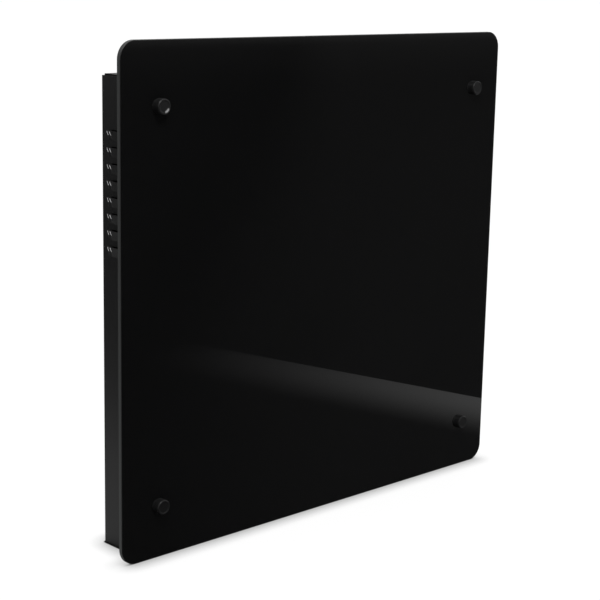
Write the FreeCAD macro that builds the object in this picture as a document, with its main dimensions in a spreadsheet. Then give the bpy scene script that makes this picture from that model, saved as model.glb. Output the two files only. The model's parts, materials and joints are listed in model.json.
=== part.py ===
import FreeCAD, Part
import math
import os
import re

import Sketcher

# Glass convector heater. X runs to the right seen from the front, Y to the wall behind, Z up.
# The origin is on the floor under the middle of the heater.

Vector = FreeCAD.Vector
Rotation = FreeCAD.Rotation

# Driving sizes, in millimetres, degrees and counts
SIZES = {
    # Glass front
    "glass_width": 460.0,
    "glass_height": 432.0,
    "glass_thickness": 4.0,
    "glass_corner": 15.0,
    "glass_arris": 0.4,
    "glass_hole": 9.0,
    "glass_gap": 8.0,
    # Studs that carry the glass
    "stud_inset_side": 38.2,
    "stud_inset_top": 52.4,
    "stud_inset_bottom": 46.0,
    "stud_cap": 13.0,
    "stud_reach": 8.0,
    "stud_bevel": 0.6,
    "stud_rim": 1.3,
    "stud_dish": 0.3,
    "stud_thread": 6.0,
    "stud_tail": 1.5,
    "stud_nut_width": 10.0,
    "stud_nut_height": 5.0,
    "washer_thickness": 0.8,
    "washer_inset": 0.4,
    "spacer_width": 14.0,
    # Clearances, each on the radius or on one side
    "running_fit": 0.05,
    "loose_fit": 0.2,
    "seam": 0.15,
    # Casing of folded sheet
    "side_inset": 25.5,
    "top_inset": 29.5,
    "casing_depth": 46.0,
    "sheet": 0.8,
    "bend_radius": 1.2,
    "return_flange": 12.0,
    "lid_thickness": 1.6,
    "lid_setback": 4.4,
    "lid_flange": 10.0,
    "bottom_flange": 14.0,
    "cover_inset": 1.5,
    # Louvres pressed out of both sides, the lowest a drop above the fascia
    "louvre_count": 8,
    "louvre_pitch": 13.7,
    "louvre_drop": 20.9,
    "louvre_length": 26.4,
    "louvre_rear_margin": 8.0,
    "louvre_rise": 8.0,
    "louvre_lift": 2.0,
    "louvre_step_lift": 1.0,
    "louvre_step_run": 4.8,
    "louvre_slot": 0.7,
    # Air slots
    "outlet_count": 31,
    "outlet_width": 6.0,
    "outlet_end_margin": 18.0,
    "outlet_edge_margin": 6.0,
    "inlet_count": 21,
    "inlet_width": 5.0,
    "inlet_edge_margin": 9.0,
    "inlet_end_margin": 18.0,
    "vent_length": 26.0,
    "vent_width": 4.0,
    "vent_columns": 6,
    "vent_rows": 4,
    "vent_column_pitch": 34.0,
    "vent_row_pitch": 11.0,
    "low_vent_height": 62.0,
    "high_vent_drop": 98.0,
    "high_vent_columns": 4,
    # Holes for floor feet
    "foot_hole": 4.5,
    "foot_hole_pitch": 24.0,
    "foot_inset": 53.5,
    # Wall hangers, bumpers and what fastens the rear
    "wall_gap": 13.2,
    "hanger_pitch": 240.0,
    "hanger_drop": 75.5,
    "hanger_height": 46.0,
    "hanger_crown": 44.0,
    "hanger_flange": 12.0,
    "hanger_sheet": 1.2,
    "keyhole_entry": 11.0,
    "keyhole_slot": 5.4,
    "keyhole_rise": 12.0,
    "rivet_shank": 4.0,
    "rivet_head": 7.0,
    "rivet_head_height": 1.2,
    "rivet_pitch": 26.0,
    "bumper_width": 18.0,
    "bumper_taper": 2.0,
    "bumper_neck": 7.0,
    "bumper_plug": 10.0,
    "bumper_plug_height": 2.0,
    "bumper_pitch": 290.0,
    "bumper_height": 140.0,
    "screw_shank": 3.4,
    "screw_length": 6.5,
    "screw_head": 7.0,
    "screw_head_height": 2.2,
    "screw_crown": 0.7,
    "screw_recess": 3.8,
    "screw_recess_width": 0.9,
    "screw_recess_depth": 1.2,
    "side_screw_count": 3,
    "side_screw_margin": 36.0,
    "low_screw_count": 3,
    "low_screw_margin": 40.0,
    # Heating element and what carries it
    "element_height": 110.0,
    "fin_count": 10,
    "fin_radius": 16.0,
    "fin_thickness": 1.6,
    "hub_radius": 9.0,
    "fin_end_gap": 5.0,
    "tube_radius": 6.0,
    "tube_overhang": 10.0,
    "bush_radius": 8.0,
    "bush_flange_radius": 11.0,
    "bush_flange": 3.0,
    "bush_inner": 2.0,
    "head_radius": 8.0,
    "head_length": 6.0,
    "pin_radius": 1.5,
    "pin_length": 6.0,
    "pin_pitch": 5.0,
    "bracket_inset": 40.0,
    "bracket_height": 50.0,
    "bracket_depth": 38.0,
    "mount_flange": 12.0,
    "partition_inset": 66.0,
    "partition_top": 330.0,
    "partition_rear_gap": 4.0,
    "reflector_sheet": 0.5,
    "reflector_standoff": 2.0,
    "reflector_low": 45.0,
    "reflector_high": 90.0,
    "reflector_flange": 10.0,
    "reflector_end_gap": 6.0,
    # Thermal cutout, its height measured up from the element
    "cutout_height": 30.0,
    "cutout_radius": 8.0,
    "cutout_length": 8.0,
    "cutout_cap_radius": 7.3,
    "cutout_cap": 2.0,
    "cutout_flange_length": 27.0,
    "cutout_flange_width": 9.0,
    "cutout_flange": 0.8,
    "cutout_screw_pitch": 21.0,
    "cutout_screw_shank": 2.6,
    "cutout_screw_head": 4.6,
    "cutout_screw_head_height": 1.6,
    "cutout_screw_length": 4.0,
    # Spade tabs
    "tab_width": 6.3,
    "tab_thickness": 0.8,
    "tab_length": 8.0,
    "tab_spread": 5.0,
    # Control fascia on the right side
    "fascia_thickness": 2.5,
    "fascia_width": 38.0,
    "fascia_length": 140.0,
    "fascia_bottom": 92.0,
    "fascia_corner": 5.0,
    "fascia_edge": 0.8,
    # Thermostat and its knob
    "knob_drop": 27.0,
    "thermostat_width": 30.0,
    "thermostat_height": 32.0,
    "thermostat_depth": 20.0,
    "thermostat_bush": 9.8,
    "thermostat_bush_end": 1.0,
    "thermostat_nut_width": 14.0,
    "thermostat_nut_height": 2.5,
    "thermostat_tab_spread": 8.0,
    "shaft_radius": 3.0,
    "shaft_depth": 10.0,
    "shaft_end_gap": 0.3,
    "knob_radius": 17.0,
    "knob_height": 15.0,
    "knob_gap": 0.6,
    "knob_draft": 1.2,
    "knob_edge": 1.2,
    "knob_skirt": 2.5,
    "knob_wall": 3.2,
    "knob_cavity": 5.0,
    "knob_bore": 6.0,
    "knob_press_fit": 0.02,
    "knob_flutes": 24,
    "flute_radius": 1.6,
    "flute_offset": 0.9,
    "pointer_start": 6.0,
    "pointer_end": 14.0,
    "pointer_width": 1.4,
    "pointer_depth": 0.6,
    "knob_rest_turn": -45.0,
    # Rocker switches
    "power_drop": 80.0,
    "heat_drop": 113.0,
    "switch_width": 15.0,
    "switch_height": 20.0,
    "switch_depth": 18.0,
    "switch_lip": 1.75,
    "switch_lip_height": 2.0,
    "rocker_radius": 8.3,
    "rocker_width": 11.0,
    "rocker_gap": 0.3,
    "rocker_pivot": 0.8,
    "rocker_crest": 3.2,
    "rocker_base": 5.0,
    "rocker_tilt": 12.0,
    "trunnion_radius": 1.5,
    "trunnion_length": 1.2,
    # Indicator lamp
    "lamp_drop": 54.0,
    "lamp_barrel": 7.8,
    "lamp_depth": 12.0,
    "lamp_lens": 10.0,
    "lamp_rim": 0.8,
    "lamp_dome": 2.4,
    "lamp_flat": 5.0,
    # Terminal block, earth stud and inner wires
    "block_inset": 36.0,
    "block_length": 32.0,
    "block_width": 20.0,
    "block_height": 18.0,
    "block_poles": 3,
    "pole_pitch": 8.0,
    "pole_screw": 5.0,
    "pole_screw_depth": 6.0,
    "pole_screw_inset": 4.0,
    "earth_height": 60.0,
    "earth_stud": 4.0,
    "earth_length": 10.0,
    "earth_nut_width": 7.0,
    "earth_nut_height": 3.2,
    "wire_entry": 4.0,
    "wire_width": 2.4,
    "wire_gap": 0.75,
    "wire_bend": 4.0,
    "wire_lead": 12.0,
    # Cord gland in the rear cover
    "gland_inset": 34.5,
    "gland_height": 45.0,
    "gland_bore": 7.5,
    "gland_barrel": 14.0,
    "gland_flange": 20.0,
    "gland_flange_height": 3.0,
    "gland_shoulder": 13.0,
    "gland_nose": 12.0,
    "gland_nose_height": 10.0,
    "gland_tail": 7.0,
    "gland_nut_width": 19.0,
    "gland_nut_height": 4.0,
}

# Places and lengths that follow from the driving sizes
PLACES = {
    # Depth, from the stud faces back to the wall
    "total_depth": "stud_reach + glass_thickness + glass_gap + casing_depth + sheet + wall_gap",
    "glass_front": "stud_reach - total_depth / 2",
    "glass_back": "glass_front + glass_thickness",
    "case_front": "glass_back + glass_gap",
    "case_inner_front": "case_front + sheet",
    "case_rear": "case_front + casing_depth",
    "cover_rear": "case_rear + sheet",
    "mid_depth": "case_front + casing_depth / 2",
    # Width and height of the casing
    "case_half": "glass_width / 2 - side_inset",
    "case_inner_half": "case_half - sheet",
    "case_top": "glass_height - top_inset",
    "lid_under": "case_top - lid_thickness",
    "lid_rear": "case_rear - lid_setback",
    # Studs
    "stud_x": "glass_width / 2 - stud_inset_side",
    "stud_high": "glass_height - stud_inset_top",
    "stud_radius": "stud_thread / 2",
    "stud_cap_radius": "stud_cap / 2",
    "stud_tip": "glass_thickness + glass_gap + sheet + stud_nut_height + stud_tail",
    # Louvres: each has a lower step at its rear end, and the skin keeps the sheet's thickness
    "louvre_straight": "louvre_length - louvre_lift - louvre_step_run - louvre_step_lift",
    "louvre_step_straight": "louvre_straight + louvre_step_run",
    "louvre_start": "case_rear - louvre_rear_margin - louvre_step_lift - louvre_step_straight",
    "louvre_inner_lift": "louvre_lift - sheet * sqrt(1 + (louvre_lift / louvre_rise) ^ 2)",
    "louvre_inner_rise": "louvre_rise * louvre_inner_lift / louvre_lift",
    "louvre_step_inner_lift": "louvre_step_lift - sheet * sqrt(1 + (louvre_step_lift / louvre_rise) ^ 2)",
    "louvre_step_inner_rise": "louvre_rise * louvre_step_inner_lift / louvre_step_lift",
    "louvre_rim": "fascia_top + louvre_drop + louvre_rise + (louvre_count - 1) * louvre_pitch",
    # Rear
    "hanger_x": "hanger_pitch / 2",
    "hanger_z": "case_top - hanger_drop",
    "hanger_half": "hanger_crown / 2",
    "hanger_reach": "hanger_half + hanger_flange",
    "rivet_x": "hanger_half + hanger_flange / 2",
    "cover_half": "case_half - cover_inset",
    "cover_top": "lid_under - cover_inset",
    "side_screw_x": "case_half - return_flange / 2",
    "side_screw_low": "bottom_flange + side_screw_margin",
    "side_screw_high": "lid_under - side_screw_margin",
    "low_screw_x": "case_half - low_screw_margin",
    "low_screw_z": "bottom_flange / 2",
    "gland_x": "case_half - gland_inset",
    # Heating element
    "bracket_left": "bracket_inset - case_half",
    "bracket_right": "bracket_left + sheet",
    "partition_right": "case_half - partition_inset",
    "partition_left": "partition_right - sheet",
    "partition_low": "bottom_flange + seam",
    "partition_rear": "case_rear - partition_rear_gap",
    "tube_start": "bracket_left - tube_overhang",
    "tube_end": "partition_right + tube_overhang",
    "fins_start": "bracket_right + fin_end_gap",
    "fins_end": "partition_left - fin_end_gap",
    "cutout_z": "element_height + cutout_height",
    "head_end": "tube_end + head_length",
    "pin_end": "head_end + pin_length",
    # Controls, on the outside of the right wall
    "fascia_face": "case_half + fascia_thickness",
    "fascia_top": "fascia_bottom + fascia_length",
    "knob_z": "fascia_top - knob_drop",
    "lamp_z": "fascia_top - lamp_drop",
    "power_z": "fascia_top - power_drop",
    "heat_z": "fascia_top - heat_drop",
    "knob_base": "fascia_face + knob_gap",
    "thermostat_back": "case_inner_half - thermostat_depth",
    "bush_end": "fascia_face + thermostat_nut_height + thermostat_bush_end",
    "switch_back": "fascia_face - switch_depth",
    "rocker_axis": "fascia_face + rocker_pivot",
    # Wiring
    "block_x": "case_half - block_inset",
    "block_top": "sheet + block_height",
    "wire_x": "block_x + wire_entry",
    "switch_tip": "switch_back - tab_length",
    "thermostat_tip": "thermostat_back - tab_length",
    "cutout_tip": "partition_right + cutout_length + tab_length",
    "earth_tip": "partition_right + earth_length",
}

TURNS = {
    "+Z": Rotation(),
    "+X": Rotation(Vector(0, 1, 0), 90),
    "-X": Rotation(Vector(0, 1, 0), -90),
    "+Y": Rotation(Vector(1, 0, 0), -90),
    "-Y": Rotation(Vector(1, 0, 0), 90),
}

# Each drawing plane with the sign of its normal along the axis that it faces
PLANES = {"XY": ("XY_Plane", ""), "XZ": ("XZ_Plane", "-"), "YZ": ("YZ_Plane", "")}

HERE = ("0", "0", "0")
CUT_MARGIN = "sheet"

# The most of a straight run that one bend of a wire takes
BEND_SHARE = 0.45

# How near two numbers are when they are taken as equal
TOLERANCE = 1e-6

doc = FreeCAD.newDocument("GlassConvectorHeater")


def make_sheet():
    """Write the driving sizes into the spreadsheet, one named cell each."""
    cells = doc.addObject("Spreadsheet::Sheet", "Sizes")
    for row, (alias, number) in enumerate(SIZES.items(), start=1):
        cells.set(f"A{row}", alias)
        cells.set(f"B{row}", str(number))
        cells.setAlias(f"B{row}", alias)
    doc.recompute()
    return cells


def formula(text):
    """Rewrite a formula of sizes and places as one of spreadsheet cells."""
    def cell(match):
        word = match.group(0)
        if word in SIZES:
            return "Sizes." + word
        if word in PLACES:
            return "(" + formula(PLACES[word]) + ")"
        return word
    return re.sub(r"[a-z_]+", cell, text)


def measure(text):
    """The number that a formula gives now."""
    return float(sheet_cells.evalExpression(formula(text)))


def bind(thing, path, text):
    """Tie one property to a formula of sizes and places."""
    thing.setExpression(path, formula(text))


def put(thing, place, direction="+Z", spin=0.0):
    """Place a thing, with its own Z axis turned to a direction after a spin about it."""
    turn = TURNS[direction].multiply(Rotation(Vector(0, 0, 1), spin))
    thing.Placement = FreeCAD.Placement(Vector(*[measure(text) for text in place]), turn)
    for axis, text in zip("xyz", place):
        bind(thing, "Placement.Base." + axis, text)
    return thing


# Solids and booleans

def box(name, size, corner):
    """A block from its size along X, Y, Z and its lowest corner."""
    solid = doc.addObject("Part::Box", name)
    for path, text in zip(("Length", "Width", "Height"), size):
        bind(solid, path, text)
    return put(solid, corner)


def cylinder(name, radius, height, start=HERE, direction="+Z"):
    """A round bar from its start along a direction."""
    solid = doc.addObject("Part::Cylinder", name)
    bind(solid, "Radius", radius)
    bind(solid, "Height", height)
    return put(solid, start, direction)


def hexagon(name, width, height):
    """A hexagonal bar from its width across flats."""
    solid = doc.addObject("Part::Prism", name)
    solid.Polygon = 6
    bind(solid, "Circumradius", f"({width}) / 2 / cos(30)")
    bind(solid, "Height", height)
    return solid


def group(name, pieces):
    """Separate solids kept together."""
    collection = doc.addObject("Part::Compound", name)
    collection.Links = pieces
    return collection


def fuse(name, pieces):
    """One solid out of several."""
    joined = doc.addObject("Part::MultiFuse", name)
    joined.Shapes = pieces
    return joined


def cut(name, base, tools):
    """A solid less its tools, which don't touch each other."""
    remainder = doc.addObject("Part::Cut", name)
    remainder.Base = base
    remainder.Tool = group(name + "_tools", tools)
    return remainder


def ring(name, outer, inner, height):
    """A sleeve or washer standing on the origin."""
    return cut(name, cylinder(name + "_outside", outer, height), [cylinder(name + "_hole", inner, height)])


def nut(name, width, height, hole):
    """A hexagonal nut standing on the origin."""
    return cut(name, hexagon(name + "_outside", width, height), [cylinder(name + "_hole", hole, height)])


def copies(label, template, places, direction="+Z"):
    """A group of equal pieces at several places."""
    pieces = []
    for place in places:
        piece = doc.addObject("App::Link", label + "_copy")
        piece.LinkedObject = template
        pieces.append(put(piece, place, direction))
    return group(label, pieces)


# Bodies and their drawings

def new_body(label):
    """An empty body."""
    return doc.addObject("PartDesign::Body", label)


def origin_feature(body, role):
    """One of a body's own origin planes or axes."""
    return next(feature for feature in body.Origin.OriginFeatures if feature.Role == role)


def sketch(body, name, plane, at="0"):
    """A drawing on one of the body's planes, moved along the plane's axis."""
    role, sign = PLANES[plane]
    drawing = body.newObject("Sketcher::SketchObject", name)
    drawing.AttachmentSupport = [(origin_feature(body, role), "")]
    drawing.MapMode = "FlatFace"
    bind(drawing, "AttachmentOffset.Base.z", f"{sign}({at})")
    return drawing


def dimension(drawing, kind, point, text):
    """Hold one coordinate of a point of the drawing to a formula."""
    name = f"size_{drawing.ConstraintCount}"
    index = drawing.addConstraint(Sketcher.Constraint(kind, -1, 1, *point, measure(text)))
    drawing.renameConstraint(index, name)
    bind(drawing, "Constraints." + name, text)


def locate(drawing, point, place):
    """Hold a point of the drawing at a place."""
    dimension(drawing, "DistanceX", point, place[0])
    dimension(drawing, "DistanceY", point, place[1])


def round_size(drawing, index, text):
    """Hold the radius of a circle or arc."""
    name = f"size_{drawing.ConstraintCount}"
    constraint = drawing.addConstraint(Sketcher.Constraint("Radius", index, measure(text)))
    drawing.renameConstraint(constraint, name)
    bind(drawing, "Constraints." + name, text)


def polygon(drawing, corners):
    """A closed outline of straight lines through the corners."""
    points = [Vector(measure(across), measure(along), 0) for across, along in corners]
    first = drawing.GeometryCount
    count = len(points)
    for index in range(count):
        drawing.addGeometry(Part.LineSegment(points[index], points[(index + 1) % count]))
    for index in range(count):
        following = first + (index + 1) % count
        drawing.addConstraint(Sketcher.Constraint("Coincident", first + index, 2, following, 1))
    for index, corner in enumerate(corners):
        locate(drawing, (first + index, 1), corner)


def rectangle(drawing, low, high):
    """An upright rectangle between two opposite corners."""
    polygon(drawing, [low, (high[0], low[1]), high, (low[0], high[1])])


def circle(drawing, centre, radius):
    """A full circle."""
    middle = Vector(measure(centre[0]), measure(centre[1]), 0)
    index = drawing.addGeometry(Part.Circle(middle, Vector(0, 0, 1), measure(radius)))
    locate(drawing, (index, 3), centre)
    round_size(drawing, index, radius)


def slot(drawing, first, second, radius):
    """A long hole with round ends between two centres."""
    start = Vector(measure(first[0]), measure(first[1]), 0)
    end = Vector(measure(second[0]), measure(second[1]), 0)
    width = measure(radius)
    heading = math.atan2(end.y - start.y, end.x - start.x)
    side = Vector(-math.sin(heading), math.cos(heading), 0) * width
    quarter = math.pi / 2
    upright = Vector(0, 0, 1)
    near = Part.ArcOfCircle(Part.Circle(start, upright, width), heading + quarter, heading + 3 * quarter)
    far = Part.ArcOfCircle(Part.Circle(end, upright, width), heading - quarter, heading + quarter)
    near_arc = drawing.addGeometry(near)
    far_arc = drawing.addGeometry(far)
    low_line = drawing.addGeometry(Part.LineSegment(start - side, end - side))
    high_line = drawing.addGeometry(Part.LineSegment(start + side, end + side))
    drawing.addConstraint(Sketcher.Constraint("Tangent", near_arc, 2, low_line, 1))
    drawing.addConstraint(Sketcher.Constraint("Tangent", low_line, 2, far_arc, 1))
    drawing.addConstraint(Sketcher.Constraint("Tangent", near_arc, 1, high_line, 1))
    drawing.addConstraint(Sketcher.Constraint("Tangent", high_line, 2, far_arc, 2))
    drawing.addConstraint(Sketcher.Constraint("Equal", near_arc, far_arc))
    locate(drawing, (near_arc, 3), first)
    locate(drawing, (far_arc, 3), second)
    round_size(drawing, near_arc, radius)


def feature_of(body, kind, profile, suffix):
    """A new feature that becomes the body's tip."""
    feature = body.newObject("PartDesign::" + kind, profile.Name + suffix)
    feature.Profile = profile
    body.Tip = feature
    return feature


def pad(body, drawing, length, reverse=False, both_ways=False):
    """Material raised from a drawing."""
    feature = feature_of(body, "Pad", drawing, "_pad")
    bind(feature, "Length", length)
    feature.Reversed = reverse
    if both_ways:
        feature.SideType = "Symmetric"
    return feature


def pocket(body, drawing, depth=None):
    """A cut below a drawing to a depth, or right through on both sides of it."""
    feature = feature_of(body, "Pocket", drawing, "_pocket")
    if depth is None:
        feature.Type = "ThroughAll"
        feature.SideType = "Symmetric"
    else:
        bind(feature, "Length", depth)
    return feature


def revolve(body, drawing):
    """A round body about the drawing's upright axis."""
    feature = feature_of(body, "Revolution", drawing, "_revolution")
    feature.ReferenceAxis = (drawing, ["V_Axis"])
    feature.Angle = 360
    return feature


def turned(label, outline):
    """A body turned about its own Z axis from (radius, height) corners."""
    body = new_body(label)
    drawing = sketch(body, label + "_profile", "XZ")
    polygon(drawing, outline)
    revolve(body, drawing)
    return body


def spread(body, originals, axis, length, count):
    """Equal copies of features in a row along an axis."""
    pattern = body.newObject("PartDesign::LinearPattern", originals[-1].Name + "_row")
    pattern.Originals = originals
    pattern.Direction = (origin_feature(body, axis), [""])
    bind(pattern, "Length", length)
    bind(pattern, "Occurrences", count)
    body.Tip = pattern
    return pattern


def spread_two_ways(body, originals, axes, lengths, counts):
    """Equal copies of features in rows and columns."""
    pattern = spread(body, originals, axes[0], lengths[0], counts[0])
    pattern.Direction2 = (origin_feature(body, axes[1]), [""])
    bind(pattern, "Length2", lengths[1])
    bind(pattern, "Occurrences2", counts[1])
    return pattern


def spread_round(body, originals, count):
    """Equal copies of features around the body's Z axis."""
    pattern = body.newObject("PartDesign::PolarPattern", originals[-1].Name + "_ring")
    pattern.Originals = originals
    pattern.Axis = (origin_feature(body, "Z_Axis"), [""])
    pattern.Angle = 360
    bind(pattern, "Occurrences", count)
    body.Tip = pattern
    return pattern


def dress(body, kind, path, size, wanted):
    """Fillet or chamfer the edges of the tip that a test picks."""
    doc.recompute()
    base = body.Tip
    names = [f"Edge{index}" for index, edge in enumerate(base.Shape.Edges, start=1) if wanted(edge)]
    feature = body.newObject("PartDesign::" + kind, body.Name + "_" + kind.lower())
    feature.Base = (base, names)
    bind(feature, path, size)
    body.Tip = feature
    return feature


def straight_along(edge, axis):
    """Whether an edge is a straight line along an axis."""
    if edge.Curve.TypeId != "Part::GeomLine":
        return False
    return abs(abs(edge.Curve.Direction.dot(axis)) - 1) < TOLERANCE


def flat_across(edge, axis):
    """The one coordinate that all of an edge shares along an axis, or None."""
    bounds = edge.BoundBox
    low = Vector(bounds.XMin, bounds.YMin, bounds.ZMin).dot(axis)
    high = Vector(bounds.XMax, bounds.YMax, bounds.ZMax).dot(axis)
    return low if abs(high - low) < TOLERANCE else None


# Glass front and its studs

def stud_places(depth):
    """The four stud axes at a depth."""
    heights = ("stud_inset_bottom", "stud_high")
    return [(side + "stud_x", depth, height) for side in ("-", "") for height in heights]


def glass_panel():
    """Toughened glass with round corners, a ground edge and four stud holes."""
    body = new_body("glass_panel")
    drawing = sketch(body, "glass_outline", "XZ", at="glass_back")
    rectangle(drawing, ("-glass_width / 2", "0"), ("glass_width / 2", "glass_height"))
    pad(body, drawing, "glass_thickness")
    through = Vector(0, 1, 0)
    dress(body, "Fillet", "Radius", "glass_corner", lambda edge: straight_along(edge, through))
    dress(body, "Chamfer", "Size", "glass_arris", lambda edge: flat_across(edge, through) is not None)
    holes = sketch(body, "glass_holes", "XZ", at="glass_back")
    for across, _, height in stud_places("0"):
        circle(holes, (across, height), "glass_hole / 2")
    pocket(body, holes)
    return body


def glass_studs():
    """Turned studs: a bevelled cap with a dished face on a threaded shank."""
    outline = [
        ("0", "stud_dish - stud_reach"),
        ("stud_cap_radius - stud_bevel - stud_rim", "stud_dish - stud_reach"),
        ("stud_cap_radius - stud_bevel - stud_rim + stud_dish", "-stud_reach"),
        ("stud_cap_radius - stud_bevel", "-stud_reach"),
        ("stud_cap_radius", "stud_bevel - stud_reach"),
        ("stud_cap_radius", "-washer_thickness"),
        ("stud_radius", "-washer_thickness"),
        ("stud_radius", "stud_tip"),
        ("0", "stud_tip"),
    ]
    return copies("glass_studs", turned("stud", outline), stud_places("glass_front"), "+Y")


def stud_stack():
    """What each stud clamps: washer, bush in the glass, spacer and nut."""
    bore = "stud_radius + loose_fit"
    washer = ring("washer", "stud_cap_radius - washer_inset", bore, "washer_thickness")
    bush = ring("glass_bush", "glass_hole / 2 - seam", bore, "glass_thickness")
    spacer = ring("spacer", "spacer_width / 2", bore, "glass_gap")
    stud_nut = nut("stud_nut", "stud_nut_width", "stud_nut_height", "stud_radius + running_fit")
    return [
        copies("stud_washers", washer, stud_places("glass_front - washer_thickness"), "+Y"),
        copies("glass_bushes", bush, stud_places("glass_front"), "+Y"),
        copies("glass_spacers", spacer, stud_places("glass_back"), "+Y"),
        copies("stud_nuts", stud_nut, stud_places("case_inner_front"), "+Y"),
    ]


# Casing of folded sheet

def louvre_scoop(name, lift, rise, length, root):
    """A pressed scoop with its rim at the origin: a slope of this length between two quarter cones."""
    slope = doc.addObject("Part::Wedge", name + "_slope")
    for path, text in (
        ("Xmin", f"-({root})"), ("Xmax", lift), ("X2min", f"-({root})"), ("X2max", "0"),
        ("Ymin", "0"), ("Ymax", rise),
        ("Zmin", "0"), ("Zmax", length), ("Z2min", "0"), ("Z2max", length),
    ):
        bind(slope, path, text)
    put(slope, HERE, "+Y")
    ends = []
    for end, place, spin in (("front", "0", -90.0), ("rear", length, 0.0)):
        cone = doc.addObject("Part::Cone", f"{name}_{end}")
        cone.Radius1 = 0.0
        cone.Angle = 90.0
        bind(cone, "Radius2", lift)
        bind(cone, "Height", rise)
        ends.append(put(cone, ("0", place, f"-({rise})"), "+Z", spin))
    return fuse(name, [slope, *ends])


def louvre_places():
    """The rim of each louvre on the right wall, from the top down."""
    return [("case_half", "louvre_start", f"louvre_rim - {index} * louvre_pitch")
            for index in range(int(measure("louvre_count")))]


def mirrored(name, source):
    """The same thing on the other side of the heater."""
    mirror = doc.addObject("Part::Mirroring", name)
    mirror.Source = source
    mirror.Normal = Vector(1, 0, 0)
    return mirror


def louvres():
    """The scoops of both walls, and the cuts that open them."""
    root = "sheet / 2"
    scoop = fuse("louvre_scoop", [
        louvre_scoop("louvre_main", "louvre_lift", "louvre_rise", "louvre_straight", root),
        louvre_scoop("louvre_step", "louvre_step_lift", "louvre_rise", "louvre_step_straight", root),
    ])
    hollow = louvre_scoop("louvre_hollow", "louvre_inner_lift", "louvre_inner_rise", "louvre_straight", root)
    step_hollow = louvre_scoop("louvre_step_hollow", "louvre_step_inner_lift", "louvre_step_inner_rise",
                               "louvre_step_straight", root)
    mouth_height = "louvre_inner_rise + louvre_slot"
    mouth = box("louvre_mouth", (f"sheet + {CUT_MARGIN}", "louvre_straight", mouth_height),
                (f"-sheet - {CUT_MARGIN}", "0", "-louvre_inner_rise"))
    opening = fuse("louvre_opening", [hollow, step_hollow, mouth])
    right_scoops = copies("louvre_scoops", scoop, louvre_places())
    right_openings = copies("louvre_openings", opening, louvre_places())
    return (
        [right_scoops, mirrored("louvre_scoops_left", right_scoops)],
        [right_openings, mirrored("louvre_openings_left", right_openings)],
    )


def rear_screw_places():
    """The rear cover's screws: up both sides, then along the bottom."""
    places = []
    sides = int(measure("side_screw_count"))
    step = f"(side_screw_high - side_screw_low) / {sides - 1}"
    for side in ("-", ""):
        for index in range(sides):
            places.append((side + "side_screw_x", "cover_rear", f"side_screw_low + {index} * {step}"))
    low = int(measure("low_screw_count"))
    for index in range(low):
        across = f"low_screw_x * ({2 * index} / {low - 1} - 1)"
        places.append((across, "cover_rear", "low_screw_z"))
    return places


def casing_shell():
    """Front wall and both side walls folded from one sheet, with louvres and control cut-outs."""
    body = new_body("casing_fold")
    drawing = sketch(body, "casing_section", "XY")
    right = [
        ("case_half", "case_front"),
        ("case_half", "case_rear"),
        ("case_half - return_flange", "case_rear"),
        ("case_half - return_flange", "case_rear - sheet"),
        ("case_inner_half", "case_rear - sheet"),
        ("case_inner_half", "case_inner_front"),
    ]
    left = [(f"-({across})", depth) for across, depth in reversed(right)]
    polygon(drawing, right + left)
    pad(body, drawing, "lid_under")
    half = measure("case_half")
    upright = Vector(0, 0, 1)
    dress(body, "Fillet", "Radius", "bend_radius",
          lambda edge: straight_along(edge, upright) and abs(abs(edge.CenterOfMass.x) - half) < TOLERANCE)
    scoops, cuts = louvres()
    for index, (across, _, height) in enumerate(stud_places("0")):
        cuts.append(cylinder(f"stud_hole_{index}", "stud_radius + loose_fit", "sheet",
                             (across, "case_front", height), "+Y"))
    for index, (across, _, height) in enumerate(rear_screw_places()):
        cuts.append(cylinder(f"flange_hole_{index}", "screw_shank / 2 + running_fit", "sheet",
                             (across, "case_rear - sheet", height), "+Y"))
    for side, across in (("left", "-case_inner_half"), ("right", "case_half - return_flange")):
        cuts.append(box(f"flange_notch_{side}", ("return_flange - sheet", "sheet", "bottom_flange + seam"),
                        (across, "case_rear - sheet", "0")))
    cuts.extend(control_cuts("wall", "case_inner_half", "sheet"))
    return cut("casing_shell", fuse("casing_pressed", [body, *scoops]), cuts)


def top_grille():
    """Top cover that lies on the walls, with outlet slots and two flanges turned down."""
    body = new_body("top_grille")
    cover = sketch(body, "lid_outline", "XY", at="lid_under")
    rectangle(cover, ("-case_half", "case_front"), ("case_half", "lid_rear"))
    pad(body, cover, "lid_thickness")
    flanges = sketch(body, "lid_flanges", "XY", at="lid_under")
    reach = "case_inner_half - return_flange"
    rectangle(flanges, (f"-({reach})", "case_inner_front"), (reach, "case_inner_front + sheet"))
    rectangle(flanges, (f"-({reach})", "lid_rear - sheet"), (reach, "lid_rear"))
    pad(body, flanges, "lid_flange", reverse=True)
    first = sketch(body, "outlet_slot", "XY", at="case_top")
    across = "outlet_end_margin - case_half"
    edge = "(outlet_edge_margin + outlet_width / 2)"
    slot(first, (across, f"case_front + {edge}"), (across, f"lid_rear - {edge}"), "outlet_width / 2")
    spread(body, [pocket(body, first)], "X_Axis", "2 * (case_half - outlet_end_margin)", "outlet_count")
    return body


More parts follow.
